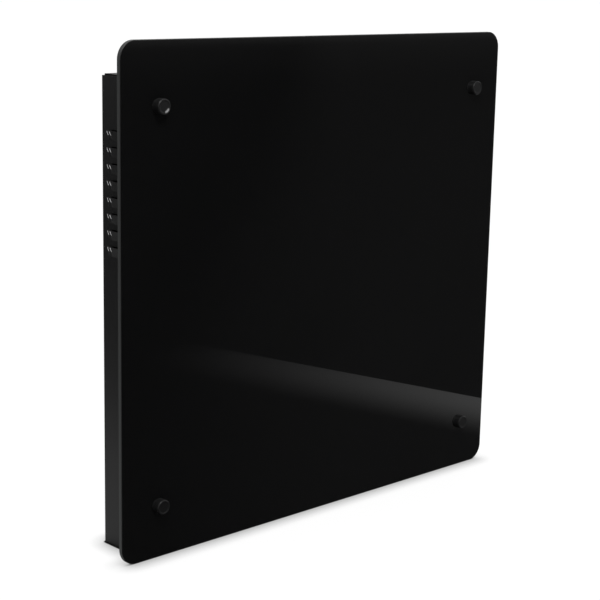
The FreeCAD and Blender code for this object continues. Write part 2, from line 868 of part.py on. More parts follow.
def bottom_plate():
    """Bottom channel between the walls, with inlet slots and the holes for feet."""
    body = new_body("bottom_plate")
    section = sketch(body, "bottom_section", "YZ")
    polygon(section, [
        ("case_inner_front", "0"),
        ("case_rear", "0"),
        ("case_rear", "bottom_flange"),
        ("case_rear - sheet", "bottom_flange"),
        ("case_rear - sheet", "sheet"),
        ("case_inner_front + sheet", "sheet"),
        ("case_inner_front + sheet", "bottom_flange"),
        ("case_inner_front", "bottom_flange"),
    ])
    pad(body, section, "2 * (case_inner_half - seam)", both_ways=True)
    inlet = sketch(body, "inlet_slot", "XY", at="sheet")
    start = "foot_inset + inlet_end_margin - case_half"
    edge = "(inlet_edge_margin + inlet_width / 2)"
    slot(inlet, (start, f"case_front + {edge}"), (start, f"case_rear - {edge}"), "inlet_width / 2")
    spread(body, [pocket(body, inlet)], "X_Axis",
           f"partition_left - inlet_end_margin - ({start})", "inlet_count")
    feet = sketch(body, "foot_holes", "XY", at="sheet")
    for side in ("-", ""):
        for depth in ("mid_depth - foot_hole_pitch / 2", "mid_depth + foot_hole_pitch / 2"):
            circle(feet, (f"{side}(case_half - foot_inset)", depth), "foot_hole / 2")
    pocket(body, feet, "sheet")
    screws = sketch(body, "bottom_screw_holes", "XZ", at="case_rear - sheet")
    for across, _, height in rear_screw_places()[-int(measure("low_screw_count")):]:
        circle(screws, (across, height), "screw_shank / 2 + running_fit")
    pocket(body, screws, "sheet")
    return body


def vent_block(body, name, columns, low):
    """A block of level vent slots, centred on the rear cover."""
    drawing = sketch(body, name, "XZ", at="case_rear")
    width = f"({columns} - 1) * vent_column_pitch"
    straight = "(vent_length - vent_width) / 2"
    first = f"-({width}) / 2"
    slot(drawing, (f"{first} - {straight}", low), (f"{first} + {straight}", low), "vent_width / 2")
    spread_two_ways(body, [pocket(body, drawing)], ("X_Axis", "Z_Axis"),
                    (width, "(vent_rows - 1) * vent_row_pitch"), (columns, "vent_rows"))


def rivet_places(side, depth):
    """The four rivets of one hanger, on its two flanges."""
    return [(f"{side}hanger_x + {across} * rivet_x", depth, f"hanger_z + {rise} * rivet_pitch / 2")
            for across in (-1, 1) for rise in (-1, 1)]


def bumper_places(depth):
    """Both wall bumpers, low on the rear cover."""
    return [(side + "bumper_pitch / 2", depth, "bumper_height") for side in ("-", "")]


def rear_cover():
    """Flat rear sheet with vents and the holes of all that is fastened through it."""
    body = new_body("rear_cover")
    drawing = sketch(body, "cover_outline", "XZ", at="case_rear")
    rectangle(drawing, ("-cover_half", "cover_inset"), ("cover_half", "cover_top"))
    pad(body, drawing, "sheet", reverse=True)
    vent_block(body, "low_vents", "vent_columns", "low_vent_height")
    vent_block(body, "high_vents", "high_vent_columns", "case_top - high_vent_drop")
    holes = sketch(body, "cover_holes", "XZ", at="case_rear")
    for across, _, height in rear_screw_places():
        circle(holes, (across, height), "screw_shank / 2 + loose_fit")
    for across, _, height in rivet_places("-", "0") + rivet_places("", "0"):
        circle(holes, (across, height), "rivet_shank / 2 + running_fit")
    for across, _, height in bumper_places("0"):
        circle(holes, (across, height), "bumper_neck / 2 + running_fit")
    circle(holes, ("gland_x", "gland_height"), "gland_barrel / 2 + running_fit")
    pocket(body, holes)
    return body


def rear_screws():
    """Pan head screws with a cross recess."""
    body = turned("pan_screw", [
        ("0", "-screw_length"),
        ("screw_shank / 2", "screw_shank / 2 - screw_length"),
        ("screw_shank / 2", "0"),
        ("screw_head / 2", "0"),
        ("screw_head / 2", "screw_head_height - screw_crown"),
        ("screw_head / 2 - screw_crown", "screw_head_height"),
        ("0", "screw_head_height"),
    ])
    recess = sketch(body, "screw_cross", "XY", at="screw_head_height")
    arm = "screw_recess / 2"
    half = "screw_recess_width / 2"
    quarter = [(arm, f"-{half}"), (arm, half), (half, half)]
    corners = []
    for across, along in ((1, 0), (0, 1), (-1, 0), (0, -1)):
        for first, second in quarter:
            corners.append((f"{across} * ({first}) - {along} * ({second})",
                            f"{along} * ({first}) + {across} * ({second})"))
    polygon(recess, corners)
    pocket(body, recess, "screw_recess_depth")
    return copies("rear_screws", body, rear_screw_places(), "+Y")


def hanger(label, side):
    """Hat-shaped wall hanger with a keyhole in its crown."""
    body = new_body(label)
    section = sketch(body, label + "_section", "XY", at="-hanger_height / 2")
    right = [
        ("hanger_half - hanger_sheet", "wall_gap - hanger_sheet"),
        ("hanger_half - hanger_sheet", "0"),
        ("hanger_reach", "0"),
        ("hanger_reach", "hanger_sheet"),
        ("hanger_half", "hanger_sheet"),
        ("hanger_half", "wall_gap"),
    ]
    left = [(f"-({across})", depth) for across, depth in reversed(right)]
    polygon(section, right + left)
    pad(body, section, "hanger_height")
    entry = sketch(body, label + "_entry", "XZ", at="wall_gap")
    circle(entry, ("0", "-keyhole_rise / 2"), "keyhole_entry / 2")
    pocket(body, entry)
    slide = sketch(body, label + "_slide", "XZ", at="wall_gap")
    slot(slide, ("0", "-keyhole_rise / 2"), ("0", "keyhole_rise / 2"), "keyhole_slot / 2")
    pocket(body, slide)
    rivets = sketch(body, label + "_rivet_holes", "XZ")
    for across in ("-rivet_x", "rivet_x"):
        for height in ("-rivet_pitch / 2", "rivet_pitch / 2"):
            circle(rivets, (across, height), "rivet_shank / 2 + running_fit")
    pocket(body, rivets)
    return put(body, (side + "hanger_x", "cover_rear", "hanger_z"))


def hanger_rivets():
    """Blind rivets: a low head outside and a set bulb inside the cover."""
    body = turned("rivet", [
        ("0", "-sheet - rivet_head_height"),
        ("rivet_head / 2 - rivet_head_height / 2", "-sheet - rivet_head_height"),
        ("rivet_head / 2 - rivet_head_height / 2", "-sheet"),
        ("rivet_shank / 2", "-sheet"),
        ("rivet_shank / 2", "hanger_sheet"),
        ("rivet_head / 2", "hanger_sheet"),
        ("rivet_head / 2 - rivet_head_height", "hanger_sheet + rivet_head_height"),
        ("0", "hanger_sheet + rivet_head_height"),
    ])
    places = rivet_places("-", "cover_rear") + rivet_places("", "cover_rear")
    return copies("hanger_rivets", body, places, "+Y")


def wall_bumpers():
    """Rubber bumpers pushed into the rear cover, as deep as the hangers."""
    body = turned("bumper", [
        ("0", "-sheet - bumper_plug_height"),
        ("bumper_neck / 2", "-sheet - bumper_plug_height"),
        ("bumper_plug / 2", "-sheet"),
        ("bumper_neck / 2", "-sheet"),
        ("bumper_neck / 2", "0"),
        ("bumper_width / 2", "0"),
        ("(bumper_width - bumper_taper) / 2", "wall_gap"),
        ("0", "wall_gap"),
    ])
    return copies("wall_bumpers", body, bumper_places("cover_rear"), "+Y")


# Heating element and what carries it

def element():
    """Finned element on its sheath tube, with a ceramic head, three pins and two bushes."""
    fins = new_body("element_fins")
    hub = sketch(fins, "fin_hub", "XY")
    circle(hub, ("0", "0"), "hub_radius")
    circle(hub, ("0", "0"), "tube_radius + running_fit")
    pad(fins, hub, "fins_end - fins_start")
    blade = sketch(fins, "fin_blade", "XY")
    root = "(tube_radius + hub_radius) / 2"
    rectangle(blade, (root, "-fin_thickness / 2"), ("fin_radius", "fin_thickness / 2"))
    spread_round(fins, [pad(fins, blade, "fins_end - fins_start")], "fin_count")
    put(fins, ("fins_start", "mid_depth", "element_height"), "+X")

    tube = cylinder("element_tube", "tube_radius", "tube_end - tube_start",
                    ("tube_start", "mid_depth", "element_height"), "+X")
    head = cylinder("element_head", "head_radius", "head_length",
                    ("tube_end", "mid_depth", "element_height"), "+X")
    pin = cylinder("pin", "pin_radius", "pin_length")
    pin_places = [("head_end", depth, "element_height") for depth in pin_depths()]
    pins = copies("element_pins", pin, pin_places, "+X")

    bush = turned("element_bush", [
        ("tube_radius + running_fit", "-bush_flange"),
        ("bush_flange_radius", "-bush_flange"),
        ("bush_flange_radius", "0"),
        ("bush_radius", "0"),
        ("bush_radius", "sheet + bush_inner"),
        ("tube_radius + running_fit", "sheet + bush_inner"),
    ])
    left = copies("left_bush", bush, [("bracket_left", "mid_depth", "element_height")], "+X")
    right = copies("right_bush", bush, [("partition_right", "mid_depth", "element_height")], "-X")
    return [fins, tube, head, pins, group("element_bushes", [left, right])]


def pin_depths():
    """Depths of the three terminal pins."""
    return ["mid_depth - pin_pitch", "mid_depth", "mid_depth + pin_pitch"]


def element_bracket():
    """Angle bracket on the front wall that holds the left end of the element."""
    body = new_body("element_bracket")
    section = sketch(body, "bracket_section", "XY", at="element_height - bracket_height / 2")
    polygon(section, [
        ("bracket_right", "case_inner_front"),
        ("bracket_right", "case_inner_front + bracket_depth"),
        ("bracket_left", "case_inner_front + bracket_depth"),
        ("bracket_left", "case_inner_front + sheet"),
        ("bracket_right - mount_flange", "case_inner_front + sheet"),
        ("bracket_right - mount_flange", "case_inner_front"),
    ])
    pad(body, section, "bracket_height")
    hole = sketch(body, "bracket_hole", "YZ", at="bracket_left")
    circle(hole, ("mid_depth", "element_height"), "bush_radius + running_fit")
    pocket(body, hole)
    return body


def partition_plate():
    """Upright plate between the hot side and the control side."""
    body = new_body("partition_plate")
    section = sketch(body, "partition_section", "XY", at="partition_low")
    polygon(section, [
        ("partition_left", "case_inner_front"),
        ("partition_left + mount_flange", "case_inner_front"),
        ("partition_left + mount_flange", "case_inner_front + sheet"),
        ("partition_right", "case_inner_front + sheet"),
        ("partition_right", "partition_rear"),
        ("partition_left", "partition_rear"),
    ])
    pad(body, section, "partition_top - partition_low")
    holes = sketch(body, "partition_holes", "YZ", at="partition_left")
    circle(holes, ("mid_depth", "element_height"), "bush_radius + running_fit")
    circle(holes, ("mid_depth", "cutout_z"), "cutout_cap_radius + loose_fit")
    for _, depth, height in cutout_screw_places():
        circle(holes, (depth, height), "cutout_screw_shank / 2 + running_fit")
    pocket(body, holes)
    return body


def heat_reflector():
    """Thin hat-shaped sheet that keeps the element's heat off the front wall."""
    body = new_body("heat_reflector")
    low = "element_height - reflector_low"
    high = "element_height + reflector_high"
    start = "bracket_right + reflector_end_gap"
    skin = "reflector_sheet"
    wall = "case_inner_front"
    crown = "case_inner_front + reflector_standoff + reflector_sheet"
    section = sketch(body, "reflector_section", "YZ", at=start)
    polygon(section, [
        (wall, f"{low} - reflector_flange"),
        (f"{wall} + {skin}", f"{low} - reflector_flange"),
        (f"{wall} + {skin}", low),
        (crown, low),
        (crown, high),
        (f"{wall} + {skin}", high),
        (f"{wall} + {skin}", f"{high} + reflector_flange"),
        (wall, f"{high} + reflector_flange"),
        (wall, f"{high} - {skin}"),
        (f"{crown} - {skin}", f"{high} - {skin}"),
        (f"{crown} - {skin}", f"{low} + {skin}"),
        (wall, f"{low} + {skin}"),
    ])
    pad(body, section, f"partition_left - reflector_end_gap - ({start})")
    return body


def cutout_screw_places():
    """The two screws of the thermal cutout."""
    face = "partition_right + cutout_flange"
    return [(face, f"mid_depth + {side} * cutout_screw_pitch / 2", "cutout_z") for side in (-1, 1)]


def thermal_cutout():
    """Disc cutout on the control side, its sensing cap through the partition, and its screws."""
    axis = ("mid_depth", "cutout_z")
    can = cylinder("cutout_can", "cutout_radius", "cutout_length", ("partition_right", *axis), "+X")
    cap = cylinder("cutout_cap", "cutout_cap_radius", "2 * sheet + cutout_cap",
                   ("partition_left - cutout_cap", *axis), "+X")
    corner = (
        "partition_right",
        "mid_depth - cutout_flange_length / 2",
        "cutout_z - cutout_flange_width / 2",
    )
    plate = box("cutout_plate", ("cutout_flange", "cutout_flange_length", "cutout_flange_width"), corner)
    holes = [cylinder("cutout_hole", "cutout_screw_shank / 2 + running_fit", "cutout_flange",
                      ("partition_right", depth, height), "+X")
             for _, depth, height in cutout_screw_places()]
    cutout = cut("thermal_cutout", fuse("cutout_joined", [can, cap, plate]), holes)
    screw = turned("cutout_screw", [
        ("0", "-cutout_screw_length"),
        ("cutout_screw_shank / 2", "-cutout_screw_length"),
        ("cutout_screw_shank / 2", "0"),
        ("cutout_screw_head / 2", "0"),
        ("cutout_screw_head / 2", "cutout_screw_head_height"),
        ("0", "cutout_screw_head_height"),
    ])
    return [cutout, copies("cutout_screws", screw, cutout_screw_places(), "+X")]


# Controls on the right side

def control_cuts(name, start, depth):
    """The cut-outs of the controls through one sheet of the right side."""
    knob_place = (start, "mid_depth", "knob_z")
    lamp_place = (start, "mid_depth", "lamp_z")
    cuts = [
        cylinder(name + "_knob_hole", "thermostat_bush / 2 + loose_fit", depth, knob_place, "+X"),
        cylinder(name + "_lamp_hole", "lamp_barrel / 2 + running_fit", depth, lamp_place, "+X"),
    ]
    for switch, height in (("power", "power_z"), ("heat", "heat_z")):
        size = (depth, "switch_width + 2 * seam", "switch_height + 2 * seam")
        corner = (start, "mid_depth - switch_width / 2 - seam", f"{height} - switch_height / 2 - seam")
        cuts.append(box(f"{name}_{switch}_hole", size, corner))
    return cuts


def control_fascia():
    """Moulded plate around the controls, with round corners and a softened edge."""
    body = new_body("fascia_plate")
    drawing = sketch(body, "fascia_outline", "YZ", at="case_half")
    rectangle(drawing, ("mid_depth - fascia_width / 2", "fascia_bottom"),
              ("mid_depth + fascia_width / 2", "fascia_top"))
    pad(body, drawing, "fascia_thickness")
    outward = Vector(1, 0, 0)
    face = measure("fascia_face")
    dress(body, "Fillet", "Radius", "fascia_corner", lambda edge: straight_along(edge, outward))

    def on_face(edge):
        level = flat_across(edge, outward)
        return level is not None and abs(level - face) < TOLERANCE

    dress(body, "Chamfer", "Size", "fascia_edge", on_face)
    return cut("control_fascia", body, control_cuts("fascia", "case_half", "fascia_thickness"))


def thermostat():
    """Thermostat behind the wall, the nut that clamps it and the shaft that the knob turns."""
    block = box("thermostat_block", ("thermostat_depth", "thermostat_width", "thermostat_height"),
                ("thermostat_back", "mid_depth - thermostat_width / 2", "knob_z - thermostat_height / 2"))
    axis = ("mid_depth", "knob_z")
    overlap = "thermostat_depth / 2"
    neck = cylinder("thermostat_neck", "thermostat_bush / 2", f"bush_end - case_inner_half + {overlap}",
                    (f"case_inner_half - {overlap}", *axis), "+X")
    bore_length = "bush_end - case_inner_half + shaft_depth"
    bore = cylinder("thermostat_bore", "shaft_radius + running_fit", bore_length,
                    ("case_inner_half - shaft_depth", *axis), "+X")
    body = cut("thermostat_body", fuse("thermostat_joined", [block, neck]), [bore])
    clamp_hole = "thermostat_bush / 2 + running_fit"
    clamp = nut("clamp_nut", "thermostat_nut_width", "thermostat_nut_height", clamp_hole)
    clamps = copies("thermostat_nut", clamp, [("fascia_face", *axis)], "+X")
    start = "case_inner_half - shaft_depth + shaft_end_gap"
    end = "knob_base + knob_cavity + knob_bore - shaft_end_gap"
    shaft = cylinder("thermostat_shaft", "shaft_radius", f"{end} - ({start})", (start, *axis), "+X")
    return [body, clamps, shaft]


def thermostat_knob():
    """Hollow fluted knob with a sunk pointer line."""
    bore = "shaft_radius + knob_press_fit"
    crown = "knob_radius - knob_draft"
    body = turned("thermostat_knob", [
        (bore, "knob_cavity"),
        ("knob_radius - knob_wall", "knob_cavity"),
        ("knob_radius - knob_wall", "0"),
        ("knob_radius", "0"),
        ("knob_radius", "knob_skirt"),
        (crown, "knob_height - knob_edge"),
        (f"{crown} - knob_edge", "knob_height"),
        ("0", "knob_height"),
        ("0", "knob_cavity + knob_bore"),
        (bore, "knob_cavity + knob_bore"),
    ])
    flute = sketch(body, "knob_flute", "XY", at="knob_height")
    circle(flute, ("knob_radius + flute_offset", "0"), "flute_radius")
    spread_round(body, [pocket(body, flute, "knob_height - knob_skirt")], "knob_flutes")
    pointer = sketch(body, "knob_pointer", "XY", at="knob_height")
    rectangle(pointer, ("pointer_start", "-pointer_width / 2"), ("pointer_end", "pointer_width / 2"))
    pocket(body, pointer, "pointer_depth")
    return put(body, ("knob_base", "mid_depth", "knob_z"), "+X", measure("knob_rest_turn"))


def switch_housing(label, height):
    """Rocker switch housing with its lip, a round well for the rocker and two pivot holes."""
    core = box(label + "_core", ("switch_depth", "switch_width", "switch_height"),
               ("switch_back", "mid_depth - switch_width / 2", f"{height} - switch_height / 2"))
    lip_width = "(switch_width + 2 * switch_lip)"
    lip_length = "(switch_height + 2 * switch_lip)"
    lip = box(label + "_lip", ("switch_lip_height", lip_width, lip_length),
              ("fascia_face", f"mid_depth - {lip_width} / 2", f"{height} - {lip_length} / 2"))
    well_width = "rocker_width + 2 * rocker_gap"
    well = cylinder(label + "_well", "rocker_radius + rocker_gap", well_width,
                    ("rocker_axis", f"mid_depth - ({well_width}) / 2", height), "+Y")
    pivot_width = f"{well_width} + 2 * trunnion_length"
    pivot = cylinder(label + "_pivot", "trunnion_radius + running_fit", pivot_width,
                     ("rocker_axis", f"mid_depth - ({pivot_width}) / 2", height), "+Y")
    return cut(label, fuse(label + "_joined", [core, lip]), [fuse(label + "_hollow", [well, pivot])])


def rocker(label, height):
    """Rocker with a dished face, round ends and two trunnions, resting with its top edge out."""
    body = new_body(label + "_face")
    drawing = sketch(body, label + "_section", "XZ", at="-rocker_width / 2")
    rise = "rocker_crest + rocker_radius * tan(rocker_tilt)"
    polygon(drawing, [
        ("-rocker_base", "-rocker_radius"),
        (rise, "-rocker_radius"),
        ("rocker_crest", "0"),
        (rise, "rocker_radius"),
        ("-rocker_base", "rocker_radius"),
    ])
    pad(body, drawing, "rocker_width", reverse=True)
    drum = cylinder(label + "_drum", "rocker_radius", "rocker_width", ("0", "-rocker_width / 2", "0"), "+Y")
    rounded = doc.addObject("Part::MultiCommon", label + "_rounded")
    rounded.Shapes = [body, drum]
    axle_length = "rocker_width + 2 * trunnion_length"
    axle = cylinder(label + "_axle", "trunnion_radius", axle_length,
                    ("0", f"-({axle_length}) / 2", "0"), "+Y")
    piece = put(fuse(label, [rounded, axle]), ("rocker_axis", "mid_depth", height))
    piece.Placement.Rotation = Rotation(Vector(0, 1, 0), measure("rocker_tilt"))
    return piece


def indicator_lamp():
    """Lamp with a low domed lens and a barrel through the fascia and the wall."""
    body = turned("indicator_lamp", [
        ("0", "-lamp_depth"),
        ("lamp_barrel / 2", "-lamp_depth"),
        ("lamp_barrel / 2", "0"),
        ("lamp_lens / 2", "0"),
        ("lamp_lens / 2", "lamp_rim"),
        ("lamp_lens / 2 - lamp_rim", "(lamp_rim + lamp_dome) / 2"),
        ("lamp_flat / 2", "lamp_dome"),
        ("0", "lamp_dome"),
    ])
    return put(body, ("fascia_face", "mid_depth", "lamp_z"), "+X")


def spade_tabs():
    """Flat tabs on the back of the switches, the thermostat and the cutout."""
    tab = new_body("spade_tab")
    section = sketch(tab, "tab_section", "XY")
    rectangle(section, ("-tab_thickness / 2", "-tab_width / 2"), ("tab_thickness / 2", "tab_width / 2"))
    pad(tab, section, "tab_length")
    to_left = [("switch_back", "mid_depth", f"{height} + {side} * tab_spread")
               for height in ("power_z", "heat_z") for side in (-1, 1)]
    to_left += [("thermostat_back", f"mid_depth + {side} * thermostat_tab_spread", "knob_z")
                for side in (-1, 1)]
    to_right = [("partition_right + cutout_length", "mid_depth", f"cutout_z + {side} * tab_spread")
                for side in (-1, 1)]
    return group("spade_tabs", [copies("tabs_to_left", tab, to_left, "-X"),
                                copies("tabs_to_right", tab, to_right, "+X")])


# Terminal block, earth, wires and cord gland

def pole_depths():
    """Depths of the terminal block's poles, from the front."""
    count = int(measure("block_poles"))
    return [f"mid_depth + ({index} - {count - 1} / 2) * pole_pitch" for index in range(count)]


def terminal_block():
    """Terminal block on the bottom plate, and its clamping screws."""
    block = box("block_body", ("block_width", "block_length", "block_height"),
                ("block_x - block_width / 2", "mid_depth - block_length / 2", "sheet"))
    screw_x = "block_x - block_width / 2 + pole_screw_inset"
    floor = "block_top - pole_screw_depth"
    wells = [cylinder("pole_well", "pole_screw / 2 + loose_fit", "pole_screw_depth", (screw_x, depth, floor))
             for depth in pole_depths()]
    body = cut("terminal_block", block, wells)
    screw = cylinder("pole_screw_body", "pole_screw / 2", "pole_screw_depth / 2")
    return [body, copies("terminal_screws", screw, [(screw_x, depth, floor) for depth in pole_depths()])]


def earth_point():
    """Welded earth stud on the partition, and its nut."""
    place = ("partition_right", pole_depths()[-1], "earth_height")
    stud = cylinder("earth_stud", "earth_stud / 2", "earth_length", place, "+X")
    clamp = nut("earth_nut_body", "earth_nut_width", "earth_nut_height", "earth_stud / 2 + running_fit")
    return [stud, copies("earth_nut", clamp, [place], "+X")]


def wire(label, route):
    """An insulated wire: straight runs joined by round bends."""
    points = [Vector(*[measure(text) for text in place]) for place in route]
    edges = []
    start = points[0]
    for before, corner, after in zip(points, points[1:], points[2:]):
        inward = (before - corner).normalize()
        outward = (after - corner).normalize()
        half_turn = (math.pi - inward.getAngle(outward)) / 2
        room = BEND_SHARE * min((before - corner).Length, (after - corner).Length)
        back = min(measure("wire_bend") * math.tan(half_turn), room)
        bend = back / math.tan(half_turn)
        enter = corner + inward * back
        leave = corner + outward * back
        middle = (inward + outward).normalize()
        apex = corner + middle * (math.hypot(bend, back) - bend)
        edges.append(Part.LineSegment(start, enter).toShape())
        edges.append(Part.Arc(enter, apex, leave).toShape())
        start = leave
    edges.append(Part.LineSegment(start, points[-1]).toShape())
    spine = Part.Wire(edges)
    heading = points[1] - points[0]
    section = Part.Wire(Part.Circle(points[0], heading, measure("wire_width") / 2).toShape())
    tube = spine.makePipeShell([section], True, False)
    piece = doc.addObject("Part::Feature", label)
    piece.Shape = tube
    piece.Placement = FreeCAD.Placement()
    return piece


def inner_wires():
    """Live, neutral and earth wires, and the links between switches, thermostat and element."""
    live_depth, neutral_depth, earth_depth = pole_depths()
    first_pin, second_pin, third_pin = pin_depths()
    middle = "mid_depth"
    power_in = "power_z - tab_spread"
    power_out = "power_z + tab_spread"
    heat_in = "heat_z + tab_spread"
    heat_out = "heat_z - tab_spread"
    cutout_in = "cutout_z + tab_spread"
    cutout_out = "cutout_z - tab_spread"
    front_tab = "mid_depth - thermostat_tab_spread"
    rear_tab = "mid_depth + thermostat_tab_spread"
    beside = "(wire_width + wire_gap) / 2"
    near_partition = "wire_x - wire_lead / 2"
    return [
        wire("live_wire", [
            ("wire_x", live_depth, "block_top"),
            ("wire_x", live_depth, f"{power_in} - 2 * wire_lead"),
            ("wire_x", middle, power_in),
            ("switch_tip", middle, power_in),
        ]),
        wire("switched_wire", [
            ("switch_tip", middle, power_out),
            ("wire_x", middle, power_out),
            ("wire_x - wire_width", front_tab, "knob_z"),
            ("thermostat_tip", front_tab, "knob_z"),
        ]),
        wire("thermostat_wire", [
            ("thermostat_tip", rear_tab, "knob_z"),
            (near_partition, rear_tab, "knob_z"),
            (near_partition, middle, cutout_in),
            ("cutout_tip", middle, cutout_in),
        ]),
        wire("element_wire", [
            ("cutout_tip", f"{middle} - {beside}", cutout_out),
            (near_partition, f"{middle} - {beside}", cutout_out),
            (near_partition, first_pin, "element_height"),
            ("pin_end", first_pin, "element_height"),
        ]),
        wire("heat_feed_wire", [
            ("cutout_tip", f"{middle} + {beside}", cutout_out),
            ("cutout_tip + wire_lead / 2", f"{middle} + {beside}", cutout_out),
            ("wire_x + wire_width", earth_depth, cutout_out),
            ("wire_x + wire_width", middle, heat_in),
            ("switch_tip", middle, heat_in),
        ]),
        wire("half_heat_wire", [
            ("switch_tip", middle, heat_out),
            ("wire_x + wire_width", middle, heat_out),
            (near_partition, second_pin, "element_height"),
            ("pin_end", second_pin, "element_height"),
        ]),
        wire("neutral_wire", [
            ("wire_x", neutral_depth, "block_top"),
            ("wire_x", neutral_depth, "block_top + wire_lead"),
            ("wire_x", third_pin, "element_height - 2 * wire_lead"),
            ("wire_x", third_pin, "element_height"),
            ("pin_end", third_pin, "element_height"),
        ]),
        wire("earth_wire", [
            ("wire_x", earth_depth, "block_top"),
            ("wire_x", earth_depth, "earth_height"),
            ("earth_tip", earth_depth, "earth_height"),
        ]),
    ]


def cord_gland():
    """Bush through the rear cover that a cord would come out of, and the nut inside it."""
    place = ("gland_x", "cover_rear", "gland_height")
    bore = "gland_bore / 2"
    barrel = "gland_barrel / 2"
    bush = turned("cord_gland", [
        (bore, "-sheet - gland_tail"),
        (barrel, "-sheet - gland_tail"),
        (barrel, "0"),
        ("gland_flange / 2", "0"),
        ("gland_flange / 2", "gland_flange_height"),
        ("gland_shoulder / 2", "gland_flange_height"),
        ("gland_nose / 2", "gland_nose_height"),
        (bore, "gland_nose_height"),
    ])
    put(bush, place, "+Y")
    lock = nut("gland_nut_body", "gland_nut_width", "gland_nut_height", f"{barrel} + running_fit")
    inside = [("gland_x", "case_rear - gland_nut_height", "gland_height")]
    return [bush, copies("gland_nut", lock, inside, "+Y")]


def build():
    """Every piece of the heater, in the order that it is put together."""
    pieces = [glass_panel(), glass_studs(), *stud_stack()]
    pieces += [casing_shell(), top_grille(), bottom_plate(), rear_cover(), rear_screws()]
    pieces += [hanger("hanger_left", "-"), hanger("hanger_right", ""), hanger_rivets(), wall_bumpers()]
    pieces += [*element(), element_bracket(), partition_plate(), heat_reflector(), *thermal_cutout()]
    pieces += [control_fascia(), *thermostat(), thermostat_knob()]
    pieces += [switch_housing("power_switch", "power_z"), rocker("power_rocker", "power_z")]
    pieces += [switch_housing("heat_switch", "heat_z"), rocker("heat_rocker", "heat_z")]
    pieces += [indicator_lamp(), spade_tabs(), *terminal_block(), *earth_point()]
    pieces += [*inner_wires(), *cord_gland()]
    return pieces


def check(pieces):
    """Stop if anything in the document failed or a piece has no sound shape."""
    for thing in doc.Objects:
        if "Invalid" in thing.State or "Error" in thing.State:
            raise RuntimeError(f"{thing.Label} failed: {thing.State}")
    for piece in pieces:
        if piece.Shape.isNull() or not piece.Shape.isValid() or not piece.Shape.Solids:
            raise RuntimeError(f"{piece.Label} has no sound shape")


def write(pieces):
    """Write one file for each piece, named by its label."""
    os.makedirs("parts", exist_ok=True)
    for piece in pieces:
        piece.Shape.exportStep(os.path.join("parts", piece.Label + ".step"))


sheet_cells = make_sheet()
heater = build()
doc.recompute()
check(heater)
write(heater)
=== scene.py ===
"""Looks of a glass convector heater: finishes, printed marks, studio and camera.

Lengths are in metres, in the heater's own frame: X to the right seen from the front, Y to the wall, Z up.
"""

from __future__ import annotations

import enum
import json
import logging
import math
from dataclasses import dataclass
from typing import Any, Callable, Iterable, Sequence

import bmesh
import bpy
from mathutils import Matrix, Vector

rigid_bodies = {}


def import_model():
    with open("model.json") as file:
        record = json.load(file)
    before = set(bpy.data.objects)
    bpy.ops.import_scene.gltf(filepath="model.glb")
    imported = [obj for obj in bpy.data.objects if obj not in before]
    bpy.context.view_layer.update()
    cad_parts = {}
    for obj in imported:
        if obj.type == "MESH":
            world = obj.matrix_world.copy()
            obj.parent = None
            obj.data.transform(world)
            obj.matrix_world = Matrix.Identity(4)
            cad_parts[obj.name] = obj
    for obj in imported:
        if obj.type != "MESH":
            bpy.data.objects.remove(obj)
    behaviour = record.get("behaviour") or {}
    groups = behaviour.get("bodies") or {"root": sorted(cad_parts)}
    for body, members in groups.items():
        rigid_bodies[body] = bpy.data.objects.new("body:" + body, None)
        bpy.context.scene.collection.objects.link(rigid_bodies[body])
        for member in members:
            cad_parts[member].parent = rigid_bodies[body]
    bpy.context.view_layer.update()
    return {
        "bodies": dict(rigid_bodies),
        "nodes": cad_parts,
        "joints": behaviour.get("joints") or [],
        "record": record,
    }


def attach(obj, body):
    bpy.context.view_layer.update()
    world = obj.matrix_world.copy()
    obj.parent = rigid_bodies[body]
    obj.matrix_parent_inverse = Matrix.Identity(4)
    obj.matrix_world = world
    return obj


LOG = logging.getLogger("heater")

# Faces that meet at less than this angle are shaded as one round surface
SHARP_ANGLE = math.radians(28.0)

# How finely an edge is felt for, and how far its normal turns from no wear to full wear
EDGE_SAMPLES = 4
EDGE_TURN = (0.015, 0.2)

BLACK = (0.0, 0.0, 0.0)
WHITE = (1.0, 1.0, 1.0)

Colour = tuple[float, float, float]
Place = tuple[float, float, float]
Point = tuple[float, float]
Outline = Sequence[Point]
Inputs = dict[str, Any]


# Patterns

@dataclass(frozen=True)
class Cloud:
    """Cloudy noise and what it does to a finish.

    It has a scale in clouds to a metre and a detail in finer layers. Its mask rises between two values and
    takes a share of a second colour, and its dulling adds to the roughness.
    """

    scale: float
    detail: float
    rise: Point = (0.0, 1.0)
    share: float = 1.0
    dulling: float = 0.0


@dataclass(frozen=True)
class Relief:
    """A bump: how much of it is taken, and the depth that a height of one stands for."""

    strength: float
    depth: float


# Shader maths

def operator(operation: str, reflected: bool = False) -> Callable[[Socket, Socket | float], Socket]:
    """An operator for sockets that adds one Math node.

    Args:
        operation: The Math node's operation.
        reflected: Whether the socket stands on the operator's right.

    Returns:
        The operator's method.
    """
    def method(self: Socket, other: Socket | float) -> Socket:
        """This value and another under the operation."""
        values = (other, self) if reflected else (self, other)
        return self.tree.maths(operation, *values)

    return method


